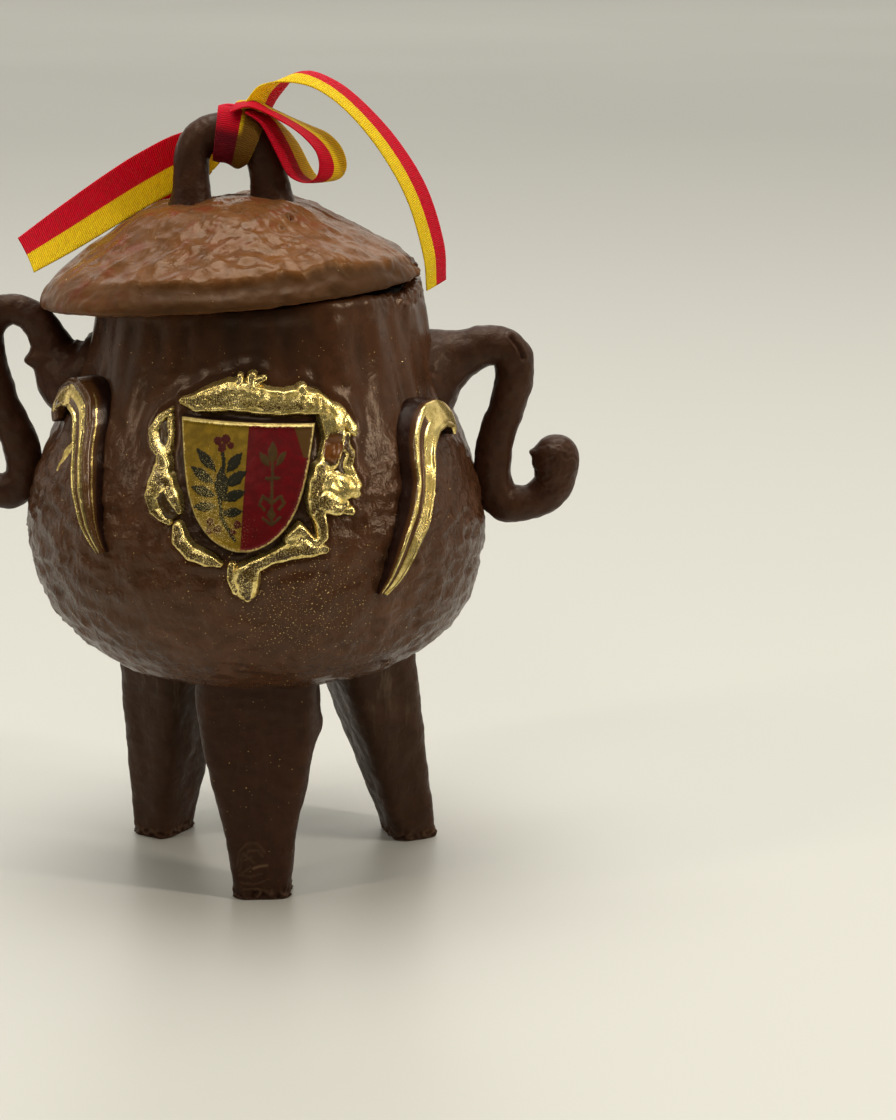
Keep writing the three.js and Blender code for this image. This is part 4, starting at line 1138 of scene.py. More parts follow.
def leg_grid(leg, rows, columns):
    """Rounded-square rings up a tapering leg: the squared cosine and sine, times the half
    width and half depth at that height; the first rings run from the middle of the flat
    foot out to its edge."""
    foot, top = np.array(leg["foot"]), np.array(leg["top"])
    outwards = math.atan2(foot[0], -foot[1])
    side = np.array([math.cos(outwards), math.sin(outwards)])
    deep = np.array([side[1], -side[0]])
    sole = np.array([0.1, 0.4, 0.7, 0.88, 0.96, 0.99])
    z = np.concatenate([0 * sole, np.linspace(0, 1, rows) ** 1.15 * LEG_TOP_Z])
    share = np.concatenate([sole, np.ones(rows)])
    turn = np.linspace(0, 2 * np.pi, 2001)
    section = evenly(np.stack([squared(np.cos(turn)), squared(np.sin(turn))], axis=-1), columns + 1)[:-1]
    half = spline([(w,) for w in leg["half"]], z / LEG_TOP_Z)[:, 0]
    wide = (share * half)[:, None] * section[:, 0]
    thick = (share * (6.0 + 0.105 * z))[:, None] * section[:, 1]
    middle = foot + (top - foot) * (z / LEG_TOP_Z)[:, None]
    flat = middle[:, None, :] + wide[..., None] * side + thick[..., None] * deep
    height = z[:, None]
    upwards = np.broadcast_to(height[..., None], (*flat.shape[:2], 1))
    return np.concatenate([flat, upwards], axis=-1), height


def leg_material(colours):
    """Scraped chocolate with pale upright streaks and scuffs."""
    finish = chocolate(
        "scraped dark chocolate", [0.86 * channel for channel in colours.dark], 0.46,
        skin=(380.0, 0.00026), patches=70.0, pale=1.6, deep=0.6, gloss=0.22,
    )
    tree = finish.tree
    streaks = noise(tree, stretched(tree, finish.place, (1, 1, 0.13)), 420.0, 3, 0.6)
    streaks = calculate(tree, "MULTIPLY", between(tree, streaks, 0.52, 0.70), mark(tree, "streaked"))
    streaked = mix_colours(tree, streaks, finish.tones["Color"], LEG_STREAK)
    finish.put("Base Color", mix_colours(tree, mark(tree, "scuffed"), streaked, LEG_SCUFF))
    return finish.material


def make_legs(sizes, colours):
    """The rings of leg_grid, raised by lumps, and by chips near the flat foot. The front leg
    also has a bulge, and scratches with raised edges."""
    material = leg_material(colours)
    for number, (node, leg) in enumerate(LEGS.items()):
        grid, height = leg_grid(leg, rows=170, columns=176)
        relief = 0.42 * lumps(grid * (1, 1, 0.7), 7, 301 + 10 * number, octaves=2)
        relief += 0.14 * lumps(grid * (0.5, 0.5, 1.3), 2.8, 305 + 10 * number)
        chips = ridged(grid, 2.4, 308 + 10 * number) + 0.5 * lumps(grid, 1.3, 309 + 10 * number)
        relief += sizes.foot_chips / MM * bell(height, 0.9, 1.7) * chips
        relief *= smooth(-0.01, 0.4, height)
        scuffs = 0.30 * bell(height, 1.6, 1.2) * smooth(0.2, 0.6, chips)
        if node == "leg_front":
            relief += 1.1 * near(grid, LEG_BULGE, 4.0)
            front = grid[..., 1] < -30
            for scratch in SCRATCHES:
                off = distance_to_line(grid[..., ::2], scratch)
                relief += front * (0.14 * bell(off, 0.45, 0.22) - 0.26 * bell(off, 0, 0.22))
                scuffs = np.maximum(scuffs, front * 0.30 * bell(off, 0.1, 0.2))
            nick = distance_to_line(grid[..., ::2], NICK)
            scuffs = np.maximum(scuffs, front * 0.8 * bell(nick, 0, 0.3))
            streaked = 0.05
        else:
            scuffs = scuffs + 0.065
            streaked = 0.15 + 0.60 * smooth(28, 50, height)
        grid = raised(grid, relief)
        grid[..., 2] = np.clip(grid[..., 2], 0, None)
        made = tube_piece(node + "_chocolate", grid, {"scuffed": scuffs, "streaked": streaked})
        stands_for(made, [node], material)


# ---- Scrolls --------------------------------------------------------------------------


def scroll_section():
    """Once round a scroll's section: v across it, from 1 to -1, and how far each point has
    risen from the pot, which is 1 all over the face."""
    face = np.linspace(1, -1, SCROLL_FACE_STEPS + 2)[1:-1]
    wall = np.linspace(0, 0.97, SCROLL_WALL_STEPS) ** 0.8
    side = np.ones(SCROLL_WALL_STEPS)
    across = np.concatenate([side, face, -side, [-0.5, 0.5]])
    rise = np.concatenate([wall, np.ones(SCROLL_FACE_STEPS), wall[::-1], [0, 0]])
    return across[None, :], rise[None, :]


def right_gilding(s, v, rise, hook):
    """Gold on one edge, in fine lines on the other half and over the hook. Also the brown
    groove, and the rise above which there is gold."""
    fine = smooth(-0.2, 0.9, np.cos(2 * np.pi * 5.5 * v + 3 * s))
    edge = 1.3 * bell(v, 0.80, 0.17)
    broad = smooth(0.16, 0.04, v) * (1.1 - 0.5 * fine * smooth(0.50, 0.34, s))
    crown = 1.2 * hook * smooth(-0.95, -0.7, v) * smooth(0.985, 0.93, s)
    gilt = np.maximum(np.maximum(edge, broad), np.maximum(crown, 0.24))
    return gilt, smooth(-0.2, 0.0, v) * smooth(0.6, 0.9, rise), 0.9


def left_gilding(s, v, rise, hook):
    """Gold on one edge, along the middle, in stripes over the hook and high on the wall of
    the other side. Also the brown groove, and the rise above which there is gold."""
    middle = 1.3 * bell(v, -0.04, 0.19 + 0.17 * smooth(0.36, 0.56, s))
    edges = np.maximum(1.2 * bell(v, 0.84, 0.14), middle)
    striped = hook * (0.70 + 0.50 * np.cos(24 * s + 4.5 * v)) * smooth(-0.75, -0.45, v)
    gilt = np.maximum(np.maximum(edges, striped), 0.365)
    gilt = gilt * smooth(0.97, 0.90, s)
    far_side = v < -0.99
    third = 0.62 * bell(rise, 0.72, 0.08) * far_side * smooth(0.62, 0.52, s)
    gilt = np.where(rise < 0.995, np.maximum(third, 0.33 * smooth(0.45, 0.7, rise) * far_side), gilt)
    return gilt, smooth(0.35, 0.6, rise), 0.35


def make_scrolls(colours):
    """A section carried along each line on the wall: v times the half width sideways, and
    the relief outwards, higher under the gold."""
    finish = chocolate(
        "dark glossy chocolate", colours.gloss, 0.20,
        skin=(260.0, 0.00006), patches=90.0, pale=1.8, deep=0.5, coat=0.4,
    )
    tree = finish.tree
    brown = mix_colours(tree, mark(tree, "groove"), finish.tones["Color"], SCROLL_GROOVE)
    gild(finish, mark(tree, "gilt"), colours, brown, 0.20)
    v, rise = scroll_section()
    shares = np.linspace(0, 1, 320)
    s = shares[:, None]
    hook = smooth(0.60, 0.70, s)
    half = spline([(w,) for w in SCROLL_WIDTHS], shares) / 2 * (1 + 0.10 * bell(s, 0.43, 0.04))
    relief = spline([(r,) for r in SCROLL_RELIEF], shares)
    for side, gilding in (("right", right_gilding), ("left", left_gilding)):
        node = "scroll_" + side
        path = spline([(math.radians(a) * SCROLL_SPREAD, z) for a, z in SCROLL_LINES[node]], shares)
        way = directions(path)
        gilt, groove, gilt_above = gilding(s, v, rise, hook)
        face = 0.82 + 0.16 * np.clip(gilt, 0, 1) * (1 - 0.6 * hook) + 0.10 * hook * (1 - v**2)
        face = face + 0.08 * bell(v, -0.72, 0.14)
        out = np.where(rise > 0.999, relief * face, relief * rise * 0.88)
        out = np.where(rise < 1e-6, -1.2, out)
        sideways = v * half * (1 + 0.10 * (1 - rise))
        sideways = sideways + 0.22 * lumps(flat_points(0 * sideways + s * 60, sideways), 5, 401)
        angle = (path[:, :1] - way[:, 1:] * sideways) / SCROLL_SPREAD
        grid = pot_point(angle, path[:, 1:] + way[:, :1] * sideways, 0.3 + out)
        grid = raised(grid, 0.10 * lumps(grid, 3.2, 411))
        marks = {"gilt": np.where(rise > gilt_above, gilt, 0.05) * smooth(0.0, 0.03, s), "groove": groove}
        made = tube_piece("scroll_ornament_" + side, grid, marks)
        stands_for(made, [node], finish.material)


# ---- Cartouche ------------------------------------------------------------------------


def cartouche_finish(colours):
    finish = chocolate(
        "gilt chocolate", colours.gloss, 0.22,
        skin=(500.0, 0.00012), patches=120.0, pale=1.8, deep=0.6, coat=0.3,
    )
    tree = finish.tree
    brown = mix_colours(tree, 0.75, finish.tones["Color"], CARTOUCHE_BROWN)
    amber = mix_colours(tree, between(tree, mark(tree, "amber"), 0.25, 0.6), brown, CARTOUCHE_AMBER)
    gold = gild(finish, mark(tree, "gilt"), colours, amber, 0.24, 3200.0)
    finish.bump(gold["Height"], 0.00006)
    return finish


def make_cartouche(colours):
    """A front grid over the wall, raised by the lobes' height, their beading and their brims,
    and cut off where it is over 1.2 mm below the wall."""
    x, z = np.meshgrid(np.linspace(*CARTOUCHE_ACROSS, 210), np.linspace(*CARTOUCHE_UPWARDS, 214))
    flat = flat_points(x, z)
    at = x + 0.35 * lumps(flat, 3.2, 501), z + 0.35 * lumps(flat, 3.2, 511)
    gilt, near_rim = lobe_height(*at, CARTOUCHE_LOBES)
    hollow = lobe_height(*at, CARTOUCHE_HOLLOWS)[0]
    over = np.maximum(gilt, hollow)
    beaded = 0.42 * lumps(flat, 3.2, 521) + 0.12 * ridged(flat, 2.0, 531) * smooth(0.9, 0.3, near_rim)
    crest = smooth(0.2, 2.2, over)
    over = over + crest * (beaded - 0.4 * bell(near_rim, 0.1, 0.3)) + 0.55 * bell(near_rim, 0.80, 0.15)

    orange = bell(x, 22.0, 2.8) * bell(z, 121.3, 3.2)
    # Painted highlights: more gold in four patches where the lobes catch the light.
    sheen = 0.42 * bell(x, 21.5, 4.5) * bell(z, 128, 4.0) + 0.34 * bell(x, 25.0, 3.6) * bell(z, 113, 3.2)
    sheen = sheen + 0.22 * bell(x, 8.0, 9.0) * bell(z, 134.6, 1.8)
    sheen = sheen + 0.16 * bell(x, 12.0, 2.4) * bell(z, 101.8, 1.6)
    uphill = np.gradient(over, axis=0) / (z[1, 0] - z[0, 0])
    rim = smooth(0.46, 0.74, near_rim + 0.14 * lumps(flat, 2.0, 545))
    cover = 0.43 + 0.03 * smooth(98, 128, z) + 0.50 * rim + sheen
    # Painted light: more gold on slopes facing upwards, less on slopes facing downwards.
    cover = cover + 0.16 * smooth(-0.2, -1.2, uphill) - 0.10 * smooth(0.2, 1.2, uphill)
    cover = cover - 0.07 * lumps(flat, 3.4, 541)
    cover = np.where(hollow > gilt + 0.3, 0.34, cover) * smooth(-0.4, 0.5, over) - 0.95 * orange

    front = pot_front_point(x, z, np.clip(over, -1.3, None) + 0.15)
    back = pot_front_point(x, z, np.full(x.shape, -2.2))
    marks = {"gilt": cover, "amber": orange}
    made = plate_piece("cartouche_gilt", front, back, marks, kept=over > -1.2, marked_back=0)
    stands_for(made, ["cartouche"], cartouche_finish(colours).material)


# ---- Shield ---------------------------------------------------------------------------


def shield_half_width(s):
    """Half width at share s of the way down: (1 - 0.2 s)(1 - s^4.5)^0.55 of the full one."""
    return (SHIELD_HALF_WIDTH + 0.6 * (1 - s)) * (1 - 0.2 * s) * np.clip(1 - s**4.5, 0, None) ** 0.55


def shield_point(side, s):
    """Point of the front view at side -1..1 of the half width and share s of the way down."""
    (top_x, top_z), (foot_x, foot_z) = SHIELD_TOP, SHIELD_FOOT
    half = shield_half_width(s)
    x = top_x + (foot_x - top_x) * s + side * half
    return x, top_z + (foot_z - top_z) * s - 0.047 * side * half * (1 - s)


def shield_outline():
    """Down the right edge, up the left one and back to the start."""
    down = np.linspace(0, SHIELD_LOW_END, 70)
    up = np.linspace(SHIELD_LOW_END, 0, 70)
    right = np.stack(shield_point(1.0, down), axis=-1)
    left = np.stack(shield_point(-1.0, up), axis=-1)
    return np.vstack([right, left, right[:1]])


def petal(at, middle, reach, turn):
    """Signed distance, in millimetres, outside a leaf of half length and half width reach."""
    c, s = math.cos(turn), math.sin(turn)
    off = at - np.array(middle)
    along, aside = off @ np.array([c, s]) / reach[0], off @ np.array([-s, c]) / reach[1]
    pointed = np.abs(aside) / np.clip(1 - along**2, 0.02, None)
    return (np.maximum(np.hypot(along, pointed), np.abs(along) * 1.02) - 1) * reach[1]


def painted_shapes(at):
    """Signed distances outside the sprig's leaves and stem, its berries, and the bud."""
    leaf = np.minimum.reduce([petal(at, *one) for one in SPRIG_LEAVES])
    leaf = np.minimum(leaf, distance_to_line(at, SPRIG_STEM) - 0.45)
    berry = np.minimum.reduce([np.linalg.norm(at - np.array(m), axis=-1) - r for m, r in SPRIG_BERRIES])
    bud = np.minimum.reduce([petal(at, *one) for one in BUD_PETALS])
    bud = np.minimum(bud, np.minimum.reduce([distance_to_line(at, one) for one in BUD_STEMS]) - 0.34)
    return leaf, berry, bud


def icing_finish(colours):
    """Mottled icing in two fields, the painting with ragged edges over it, and gold specks
    and a gold brim over both."""
    finish = Finish("painted icing")
    tree = finish.tree
    mottled = noise(tree, finish.place, 420.0, 4, 0.6)
    tone = between(tree, mottled, 0.38, 0.66)
    grain = noise(tree, finish.place, 1500.0, 3, 0.7)
    ragged = calculate(tree, "MULTIPLY", calculate(tree, "SUBTRACT", grain, 0.5), 1.3)

    def inside(drawn, low, high):
        return between(tree, calculate(tree, "ADD", mark(tree, drawn), ragged), low, high)

    yellow = mix_colours(tree, tone, opaque(colours.yellow_icing, 0.72), opaque(colours.yellow_icing, 1.12))
    red = mix_colours(tree, tone, opaque(colours.red_icing, 0.8), opaque(colours.red_icing, 1.15))
    shade = mix_colours(tree, between(tree, mark(tree, "from_split"), -0.08, 0.08), yellow, red)
    shade = mix_colours(tree, inside("leaf", 0.12, -0.12), shade, opaque(colours.leaf))
    shade = mix_colours(tree, inside("berry", 0.10, -0.10), shade, opaque(colours.berry))
    bud_shade = mix_colours(tree, mottled, BUD_DARK, BUD_PALE)
    shade = mix_colours(tree, inside("bud", 0.12, -0.10), shade, bud_shade)
    shade = mix_colours(tree, between(tree, mark(tree, "corner"), -0.1, 0.1), shade, SHIELD_CORNER)
    specks = use_group(tree, "Leaf gold", {
        "Place": finish.place,
        "Cover": calculate(tree, "MULTIPLY_ADD", mark(tree, "left_part"), 0.17, 0.245),
        "Gold": opaque(colours.gold), "Deep gold": opaque(colours.gold, 0.5), "Grain scale": 4200.0,
    })
    brim = calculate(tree, "MULTIPLY", inside("from_edge", 0.95, 0.55), 0.8)
    wall = between(tree, mark(tree, "from_edge"), 0.22, 0.08)
    gold_mask = calculate(tree, "MAXIMUM", specks["Mask"], brim)
    gold_mask = calculate(tree, "MULTIPLY", gold_mask, calculate(tree, "SUBTRACT", 1.0, wall))
    shade = mix_colours(tree, gold_mask, shade, specks["Color"])
    finish.put("Base Color", mix_colours(tree, wall, shade, opaque(colours.gloss)))
    finish.put("Metallic", calculate(tree, "MULTIPLY", gold_mask, 0.9))
    finish.put("Roughness", between(tree, mottled, 0.3, 0.7, 0.50, 0.36))
    finish.put("Specular IOR Level", 0.14)
    finish.put("Specular Tint", ICING_TINT)
    finish.bump(mottled, 0.00010)
    return finish


def make_shield(colours):
    """A front grid over the wall, from side to side and from the top down: a dome with a low
    brim, falling off outside it, and 0.1 mm higher where it is painted."""
    side, down = np.meshgrid(np.linspace(-1, 1, 200), np.linspace(0, 1, 210))
    x, z = shield_point(side, SHIELD_LOW_END * np.sin(down * np.pi / 2))
    at = np.stack([x, z], axis=-1)
    away = distance_to_line(at, shield_outline())
    leaf, berry, bud = painted_shapes(at)
    out = SHIELD_RELIEF + 0.6 * (1 - (np.hypot(x - 1, z - 113) / 19) ** 2)
    out += 0.28 * bell(away, 0.75, 0.42) - 0.75 * (1 - smooth(0, 0.75, away)) ** 1.5
    out += 0.05 * lumps(flat_points(x, z), 3.5, 601, octaves=2)
    out += 0.10 * smooth(0.2, -0.4, np.minimum(leaf, np.minimum(berry, bud)))
    (top_x, top_z), (foot_x, foot_z) = SHIELD_TOP, SHIELD_FOOT
    split = top_x + 0.6 + (foot_x - 0.7 - top_x - 0.6) * (top_z - z) / (top_z - foot_z)
    marks = {
        "from_split": x - split, "leaf": leaf, "berry": berry, "bud": bud, "from_edge": away,
        "corner": np.minimum(x - 12.0 - (127.9 - z) * 0.33, z - 119.8),
        "left_part": bell(x, -8, 7) * bell(z, 112, 14) + 0.6 * bell(x, -2, 9) * bell(z, 103, 6),
    }
    front = pot_front_point(x, z, 0.45 + out)
    back = pot_front_point(x, z, np.full(x.shape, -1.0))
    made = plate_piece("shield_icing", front, back, marks)
    stands_for(made, ["shield"], icing_finish(colours).material)


# ---- Ribbon ---------------------------------------------------------------------------


def strip_grid(strip, rows, columns):
    """A strip between its near edge, middle and far edge: the parabola through the three at
    w = 0, 1/2 and 1, near (1 - w)(1 - 2w) + middle 4w(1 - w) + far w(2w - 1)."""
    shares = np.linspace(0, 1, rows)
    first, middle, last = (
        spline(strip[line], shares, loose=True)[:, None] for line in ("near", "middle", "far")
    )
    w = np.linspace(0, 1, columns)[None, :, None]
    return first * (1 - w) * (1 - 2 * w) + middle * 4 * w * (1 - w) + last * w * (2 * w - 1)


def knot_grid():
    """The band round the grip's shoulder: each loop is an ellipse from its top over the grip
    to its bottom under it, turn by turn, and the loops follow one another from the left edge
    to the right. Also where it is in its own shade."""
    turn = np.linspace(0, 2 * np.pi, 121)[:, None]
    w = np.linspace(0, 1, 30)[None, :]
    top = spline(KNOT_TOP, w[0])[None]
    bottom = spline(KNOT_BOTTOM, w[0])[None]
    fold = 0.05 * np.cos(3 * np.pi * w + 1.4 * np.sin(turn))
    fold = fold + 0.10 * bell(w, 0.30, 0.2) * bell(turn, 0.5, 0.9)
    round_it = (np.abs(np.cos(turn)) ** 0.8 * np.sign(np.cos(turn)) * (1 + fold))[..., None]
    flat = (top + bottom) / 2 + (top - bottom) / 2 * round_it
    deep = KNOT_HALF_DEPTH * np.sin(turn) * (1 + fold)
    knot = arch_placed(np.stack([flat[..., 0], deep, flat[..., 1]], axis=-1))
    knot[-1] = knot[0]
    # Painted light on the knot's upper left; the rest of the knot gets painted shade.
    lit = smooth(191.8, 195.0, knot[..., 2] + 0.2 * flat[..., 0]) * smooth(0.60, 0.52, w)
    return knot, 1 - lit


def ribbon_finish(colours):
    """Grosgrain: ribs across the ribbon, the two colours side by side, painted shade in the
    ribs' grooves, painted shade on the knot and near it, and a firm selvedge along both edges."""
    finish = Finish("ribbed ribbon")
    tree = finish.tree
    uv = add_node(tree, "ShaderNodeUVMap", uv_map=WEAVE_UV).outputs[0]
    parts = add_node(tree, "ShaderNodeSeparateXYZ", {0: uv}).outputs
    wobble = noise(tree, uv, 60.0, 2)
    shift = calculate(tree, "MULTIPLY", wobble, 1.5)
    turns_along = calculate(tree, "MULTIPLY_ADD", parts["X"], 2 * math.pi * RIBS_PER_WIDTH, shift)
    turns_across = calculate(tree, "MULTIPLY", parts["Y"], 2 * math.pi * THREADS_ACROSS)
    ribs, threads = calculate(tree, "SINE", turns_along), calculate(tree, "SINE", turns_across)
    weave = calculate(tree, "MULTIPLY_ADD", threads, 0.35, ribs)
    shade = between(tree, weave, -1.3, 1.3)
    # Painted shade in the ribs' grooves: each colour runs from 0.55 to 1.1 times itself across a rib.
    red = mix_colours(tree, shade, opaque(colours.ribbon_red, 0.55), opaque(colours.ribbon_red, 1.1))
    yellow = mix_colours(tree, shade, opaque(colours.ribbon_yellow, 0.6), opaque(colours.ribbon_yellow, 1.1))
    side = calculate(tree, "MULTIPLY_ADD", calculate(tree, "SUBTRACT", wobble, 0.5), 0.02, parts["Y"])
    half = between(tree, side, 0.492, 0.508)
    slubs = between(tree, noise(tree, uv, 9.0, 3), 0.35, 0.75, 0.0, 0.16)
    dulled = mix_colours(tree, slubs, mix_colours(tree, half, red, yellow), RIBBON_SLUB)
    # Painted shade: where the shaded mark is high, the knot and the strips beside it turn to dark shade
    # colours.
    in_shade = mix_colours(tree, half, RIBBON_RED_SHADE, RIBBON_YELLOW_SHADE)
    in_shade = mix_colours(tree, calculate(tree, "MULTIPLY", shade, 0.07), in_shade, dulled)
    shaded = calculate(tree, "MULTIPLY", mark(tree, "shaded"), 0.95)
    finish.put("Base Color", mix_colours(tree, shaded, dulled, in_shade))
    edge = calculate(tree, "ABSOLUTE", calculate(tree, "SUBTRACT", parts["Y"], 0.5))
    finish.put("Roughness", between(tree, edge, 0.46, 0.49, 0.62, 0.5))
    finish.put("Specular IOR Level", 0.08)
    finish.put("Subsurface Weight", 0.7)
    finish.put("Subsurface Radius", (1.0, 0.8, 0.4))
    finish.put("Subsurface Scale", 0.0015)
    hem = between(tree, edge, 0.470, 0.490, 0.0, 0.8)
    finish.bump(calculate(tree, "ADD", shade, hem), 0.00012)
    return finish


def make_ribbon(sizes, colours):
    """The four strips and the knot as one sheet. Its UV map runs along each strip, in ribbon
    widths, and across it from the red edge to the yellow one."""
    strips = [(strip_grid(strip, rows=200, columns=22), strip["near_is_red"]) for strip in RIBBON_STRIPS]
    knot, knot_shade = knot_grid()
    points, quads, uvs, shaded, start, total = [], [], [], [], 0, 0.0
    for grid, near_is_red in [*strips, (knot, True)]:
        rows, columns = grid.shape[:2]
        run = run_of(grid[:, columns // 2])[:, None]
        total += run[-1, 0]
        w = np.linspace(0, 1, columns) if near_is_red else np.linspace(1, 0, columns)
        uvs.append(np.stack(np.broadcast_arrays(run / RIBBON_WIDTH, w[None, :]), axis=-1).reshape(-1, 2))
        points.append(grid.reshape(-1, 3))
        quads.append(grid_faces(rows, columns, around=False) + start)
        # Painted shade: the knot's own shaded side, and on the strips a shade fading within about 5.5 mm of a
        # point beside the knot.
        shaded.append((knot_shade if grid is knot else 0.8 * near(grid, KNOT_SHADE_AT, 5.5)).ravel())
        start += rows * columns
    marks = {"shaded": np.concatenate(shaded)}
    made = piece("ribbon_bow", np.vstack(points), np.vstack(quads), closed=False, marks=marks)
    layer = made.data.uv_layers.new(name=WEAVE_UV)
    corners = np.zeros(len(made.data.loops), int)
    made.data.loops.foreach_get("vertex_index", corners)
    layer.data.foreach_set("uv", np.vstack(uvs)[corners].ravel())
    wall = made.modifiers.new("thickness", "SOLIDIFY")
    wall.thickness = sizes.ribbon_thickness
    wall.offset = 0
    stands_for(made, ["ribbon"], ribbon_finish(colours).material)
    print("ribbon length along the middle, mm", round(total, 1))


# ---- Gold flakes ----------------------------------------------------------------------


def flake_mesh(points, normals, reach, rng):
    """Eight-sided flakes: a flat kite in the surface with a low point above and below."""
    count = len(points)
    helper = rng.normal(size=(count, 3))
    first = np.cross(normals, helper)
    first /= np.linalg.norm(first, axis=-1, keepdims=True)
    second = np.cross(normals, first)
    wide = (reach * rng.uniform(0.5, 1.0, count))[:, None]
    long = reach[:, None]
    thin = 0.35 * reach[:, None]
    corners = np.stack([
        points + first * long, points + second * wide, points - first * long, points - second * wide,
        points + normals * thin, points - normals * thin,
    ], axis=1)
    pattern = np.array([
        (0, 1, 4), (1, 2, 4), (2, 3, 4), (3, 0, 4), (1, 0, 5), (2, 1, 5), (3, 2, 5), (0, 3, 5),
    ])
    return corners.reshape(-1, 3), (pattern[None] + 6 * np.arange(count)[:, None, None]).reshape(-1, 3)


def surface_samples(name, weight, count, rng):
    """Points and normals near a piece's own corners: drawn by a weight for each corner, and
    moved aside along the surface by up to 0.7 mm."""
    mesh = bpy.data.objects[name].data
    points = np.zeros(len(mesh.vertices) * 3)
    normals = np.zeros(len(mesh.vertices) * 3)
    mesh.vertices.foreach_get("co", points)
    mesh.vertices.foreach_get("normal", normals)
    points, normals = points.reshape(-1, 3) / MM - AXIS_AT, normals.reshape(-1, 3)
    share = weight(points, normals)
    chosen = rng.choice(len(points), size=count, replace=False, p=share / share.sum())
    points, normals = points[chosen], normals[chosen]
    aside = rng.uniform(-0.7, 0.7, size=points.shape)
    aside -= normals * np.sum(aside * normals, axis=-1, keepdims=True)
    return points + aside + 0.08 * normals, normals


def facing(normals):
    return np.clip(-normals[:, 1], 0, 1)


def pot_flakes(points, normals):
    """A dense spot a little right of the belly's middle, a wide thin one, and strays."""
    azimuth, height = np.degrees(np.arctan2(points[:, 0], -points[:, 1])), points[:, 2]
    dense = bell(azimuth, 14, 8.5) * bell(height, 84, 7.5)
    wide = 0.13 * bell(azimuth, 12, 20) * bell(height, 88, 13)
    return facing(normals) * (dense + wide + 0.008) * (height < 146)


def leg_flakes(points, normals):
    return facing(normals) * (points[:, 2] < 56) * (0.2 + bell(points[:, 2], 38, 12))


def lid_flakes(points, normals):
    return np.clip(normals[:, 2], 0, 1) * facing(normals)


# Where the flakes lie: the piece, the weight of its corners and the share of all flakes.
FLAKE_SHARES = [
    ("pot_chocolate", pot_flakes, 0.84), ("leg_front_chocolate", leg_flakes, 0.03),
    ("lid_chocolate", lid_flakes, 0.02),
]


def make_flakes(sizes):
    """Flakes of 0.07 to 0.2 mm half length, more of them small, on the pieces' front."""
    rng = np.random.default_rng(7)
    chosen = [
        surface_samples(name, weight, int(sizes.flakes * part), rng)
        for name, weight, part in FLAKE_SHARES
    ]
    points, normals = (np.vstack(arrays) for arrays in zip(*chosen))
    reach = 0.07 + 0.13 * rng.random(len(points)) ** 3
    corners, faces = flake_mesh(points, normals, reach, rng)
    finish = Finish("gold flakes")
    inputs = {"Place": finish.place, "Gold": FLAKE_GOLD, "Deep gold": FLAKE_DEEP_GOLD}
    gold = use_group(finish.tree, "Leaf gold", inputs)
    finish.put("Base Color", gold["Color"])
    finish.put("Metallic", 0.4)
    finish.put("Roughness", gold["Roughness"])
    made = piece("gold_flakes", corners, np.zeros((0, 4), int), faces, closed=False)
    made.data.polygons.foreach_set("use_smooth", np.zeros(len(made.data.polygons), bool))
    made.data.materials.append(finish.material)
    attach(made, "root")


# ---- Stage ----------------------------------------------------------------------------


def area_light(name, at, towards, size, power, colour):
    light = bpy.data.lights.new(name, "AREA")
    light.shape = "RECTANGLE"
    light.size, light.size_y = size
    light.energy = power
    light.color = colour
    made = add_object(name, light)
    made.location = at
    made.rotation_euler = (Vector(towards) - Vector(at)).to_track_quat("-Z", "Y").to_euler()


def make_floor(colours):
    """A flat floor of squares, 28 m across."""
    reach = np.linspace(-14, 14, 29)
    x, y = np.meshgrid(reach, reach)
    points = np.stack([x, y, 0 * x], -1).reshape(-1, 3)
    mesh = bpy.data.meshes.new("floor")
    mesh.from_pydata(points.tolist(), [], grid_faces(29, 29, around=False).tolist())
    floor = add_object("floor", mesh)
    finish = Finish("pale floor")
    tree = finish.tree
    cloudy = noise(tree, finish.place, 1.2, 2)
    darker, paler = opaque(colours.floor, 0.97), opaque(colours.floor, 1.03)
    finish.put("Base Color", mix_colours(tree, cloudy, darker, paler))
    finish.put("Roughness", between(tree, cloudy, 0.3, 0.7, 0.34, 0.38))
    mesh.materials.append(finish.material)


def make_room():
    """Soft light from behind and from the sides, weaker from right above, dark in front."""
    world = bpy.data.worlds.new("studio")
    world.use_nodes = True
    tree = world.node_tree
    tree.nodes.clear()
    way = tree.nodes.new("ShaderNodeTexCoord").outputs["Generated"]
    parts = add_node(tree, "ShaderNodeSeparateXYZ", {0: way}).outputs
    aside = calculate(tree, "MULTIPLY_ADD", calculate(tree, "ABSOLUTE", parts["X"]), 0.35, -0.12)
    above = calculate(tree, "MULTIPLY_ADD", parts["Z"], 0.50, aside)
    glow = between(tree, calculate(tree, "MULTIPLY_ADD", parts["Y"], 0.80, above), -0.10, 0.80)
    low = between(tree, parts["Z"], 0.75, 0.15, 0.30, 1.0)
    shade = mix_colours(tree, calculate(tree, "MULTIPLY", glow, low), ROOM_DARK, ROOM_BRIGHT)
    background = add_node(tree, "ShaderNodeBackground", {"Color": shade, "Strength": 0.86})
    output = tree.nodes.new("ShaderNodeOutputWorld")
    tree.links.new(background.outputs[0], output.inputs["Surface"])
    bpy.context.scene.world = world
    bpy.context.scene.view_settings.view_transform = "Standard"


def make_camera():
    data = bpy.data.cameras.new("camera")
    data.sensor_fit = "VERTICAL"
    data.sensor_height = SENSOR_HEIGHT
    data.lens = FOCAL_PIXELS / PICTURE_HEIGHT * SENSOR_HEIGHT
    data.clip_end = 100
    camera = add_object("camera", data)
    camera.location = CAMERA_AT
    camera.rotation_euler = (math.pi / 2 - CAMERA_DOWN, 0, 0)
    bpy.context.scene.camera = camera


def make_stage(colours):
    make_floor(colours)
    make_room()
    for light in LIGHTS:
        area_light(*light)
    make_camera()


# ---- Operators, panel and registration ------------------------------------------------


